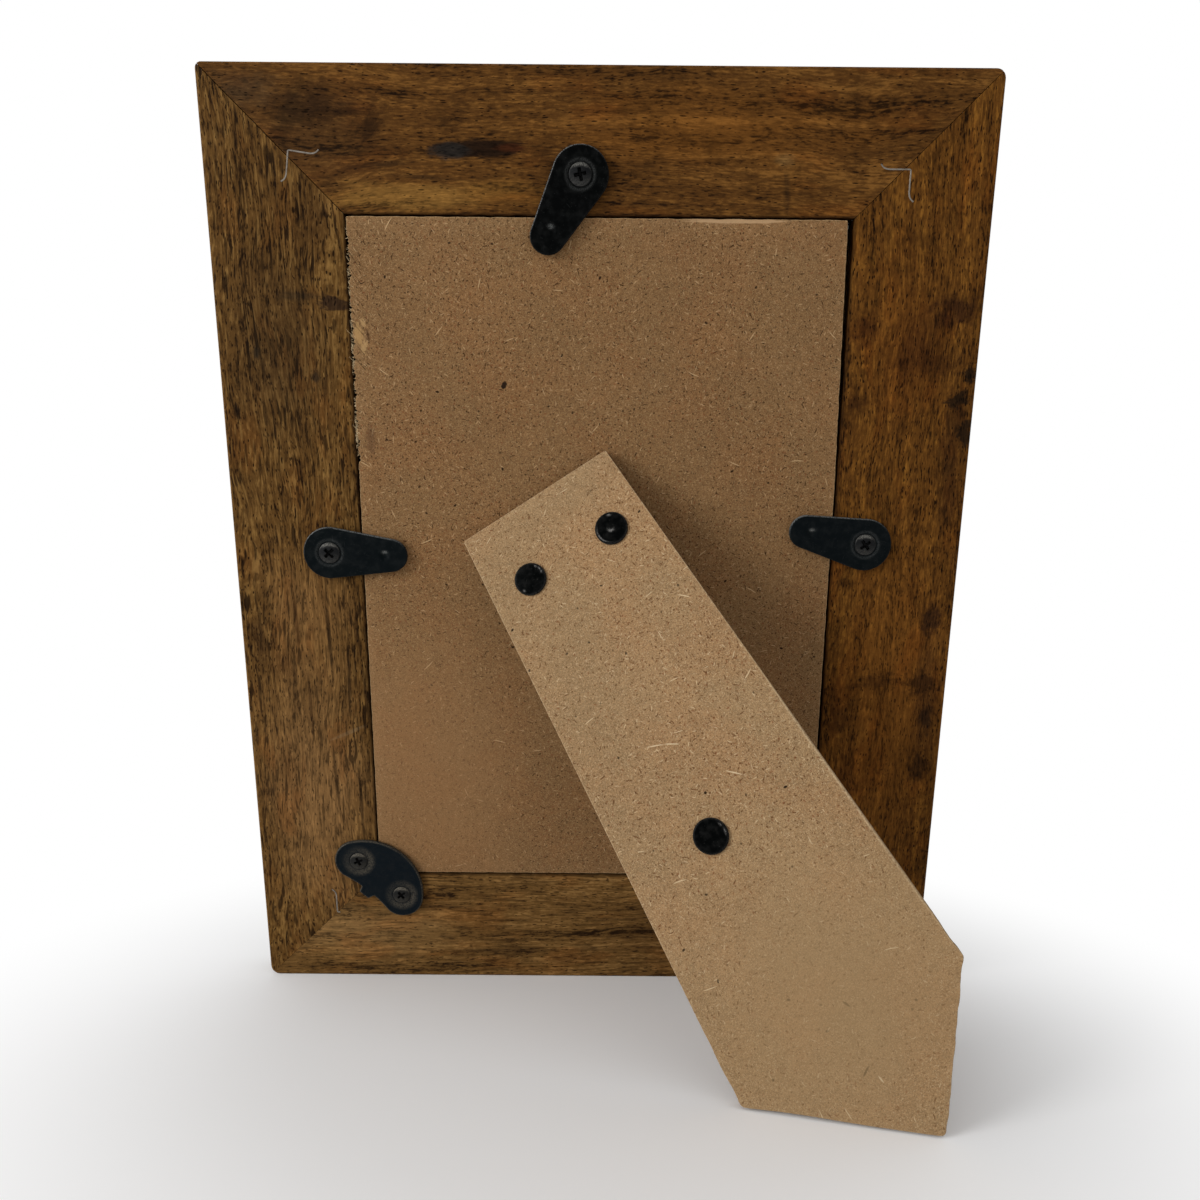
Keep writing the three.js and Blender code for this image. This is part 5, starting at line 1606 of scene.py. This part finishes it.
# %% Glass and paper
glass, g, shader = new_material("clear_glass", Transmission_Weight=1.0, Roughness=0.03, IOR=1.5)
smear = g.noise(g.place(back), 0.04, 4.0)
g.feed(shader["Base Color"], g.mix(smear, tone(246, 252, 249), tone(238, 248, 244)))
paper, g, shader = new_material("plain_paper", Specular_IOR_Level=0.2)
tooth = g.noise(g.place(back), 3.0, 3.0, 0.6)
g.feed_all(shader, Base_Color=g.mix(tooth, tone(226, 220, 206), tone(238, 233, 222)),
           Roughness=g.math("MULTIPLY_ADD", tooth, 0.1, 0.85), Normal=g.bump(g.times(tooth, 0.03)))
for node, material in (("glass", glass), ("picture_sheet", paper)):
    nodes[node].data.materials.clear()
    nodes[node].data.materials.append(material)

# %% [markdown]
# The stage is a plain pale floor under soft light. One broad lamp stands above the camera and to
# the left, as in the photograph, and the room around fills the shadows. The camera sees the room
# as white. Metal, paint and glass mirror it: the white backdrop lies beyond the frame, and the
# side that the camera stands on is dim, as in a studio, so that black paint stays black.


# %% The room
def light_path(g):
    return g.tree.nodes.new("ShaderNodeLightPath").outputs


FILL = 0.63
DIM_SIDE = 0.14
world = bpy.data.worlds.new("white_room")
bpy.context.scene.world = world
world.use_nodes = True
g = Graph(world.node_tree)
background = world.node_tree.nodes["Background"].inputs
background["Color"].default_value = (1, 1, 1, 1)
path = light_path(g)
direction = g.split(g.add("ShaderNodeTexCoord", {}, "Generated"))
to_backdrop = g.smooth(direction[1], 0.30, -0.25, DIM_SIDE, 1.0)
overhead = g.smooth(direction[2], 0.55, 0.95, 0.0, 0.45)
mirrored = g.math("MAXIMUM", to_backdrop, overhead)
strength = g.smooth(path["Is Glossy Ray"], 0, 1, 0.0, 1.0)
strength = g.times(strength, g.math("SUBTRACT", mirrored, FILL))
strength = g.math("ADD", strength, FILL)
straight = g.math("MAXIMUM", path["Is Camera Ray"], path["Is Transmission Ray"])
g.feed(background["Strength"], g.math("MAXIMUM", strength, straight))

# %% The floor
FLOOR_HALF = 4.0
WHITE_FROM, WHITE_TO = 0.07, 0.21
floor_material = bpy.data.materials.new("pale_floor")
floor_material.use_nodes = True
g = Graph(floor_material.node_tree)
path = light_path(g)
here = g.add("ShaderNodeTexCoord", {}, "Object")
on_backdrop_side = g.smooth(g.split(here)[1], 0.10, -0.05)
mirrored = g.times(path["Is Glossy Ray"], on_backdrop_side)
seen = g.math("MAXIMUM", path["Is Camera Ray"], mirrored)
seen = g.math("MAXIMUM", seen, path["Is Transmission Ray"])
paint = g.mix(seen, (0.75, 0.75, 0.75, 1), (0.95, 0.95, 0.95, 1))
matt = g.add("ShaderNodeBsdfDiffuse", {"Color": paint})
white = g.add("ShaderNodeEmission", {"Color": (1, 1, 1, 1), "Strength": 1.0})
far = g.times(g.smooth(g.vector("LENGTH", here), WHITE_FROM, WHITE_TO), seen)
blend = g.add("ShaderNodeMixShader", {0: far, 1: matt, 2: white})
g.feed(floor_material.node_tree.nodes["Material Output"].inputs["Surface"], blend)
floor_mesh = bpy.data.meshes.new("floor")
floor_mesh.from_pydata([(-FLOOR_HALF, -FLOOR_HALF, 0), (FLOOR_HALF, -FLOOR_HALF, 0),
                        (FLOOR_HALF, FLOOR_HALF, 0), (-FLOOR_HALF, FLOOR_HALF, 0)],
                       [], [(0, 1, 2, 3)])
floor_mesh.materials.append(floor_material)
floor = new_object("floor", floor_mesh)

# %% The lamp
LAMP_AT = Vector((1.10, 0.65, 0.42))
LAMP_AIM = Vector((0, 0, 0.12))
LAMP_SIZE = 0.6
LAMP_POWER = 10.8
lamp_data = bpy.data.lights.new("broad_lamp", "AREA")
lamp_data.shape = "DISK"
lamp_data.size = LAMP_SIZE
lamp_data.energy = LAMP_POWER
lamp = new_object("broad_lamp", lamp_data)
lamp.location = LAMP_AT
lamp.rotation_mode = "QUATERNION"
lamp.rotation_quaternion = (LAMP_AIM - LAMP_AT).to_track_quat("-Z", "Y")

# %% Camera at the photograph's place
LENS, SENSOR_WIDTH = 28.8, 36
CAMERA_AT = (0.5, 57.46, 260.42)
CAMERA_RIGHT = np.array([0.99997, 0.008, -0.0005])
CAMERA_DOWN = np.array([0.00789, -0.97015, 0.2424])
camera_data = bpy.data.cameras.new("camera")
camera_data.lens = LENS
camera_data.sensor_width = SENSOR_WIDTH
camera = new_object("camera", camera_data)
right, down = CAMERA_RIGHT @ back.rows, CAMERA_DOWN @ back.rows
turned = Matrix(np.stack([right, -down, np.cross(right, -down)], -1).tolist()).to_4x4()
camera.matrix_world = Matrix.Translation(back.to_world(CAMERA_AT)) @ turned
bpy.context.scene.camera = camera
camera_data.clip_start = 0.01
bpy.context.scene.view_settings.view_transform = "Standard"
print("camera at", [round(x, 3) for x in camera.location])
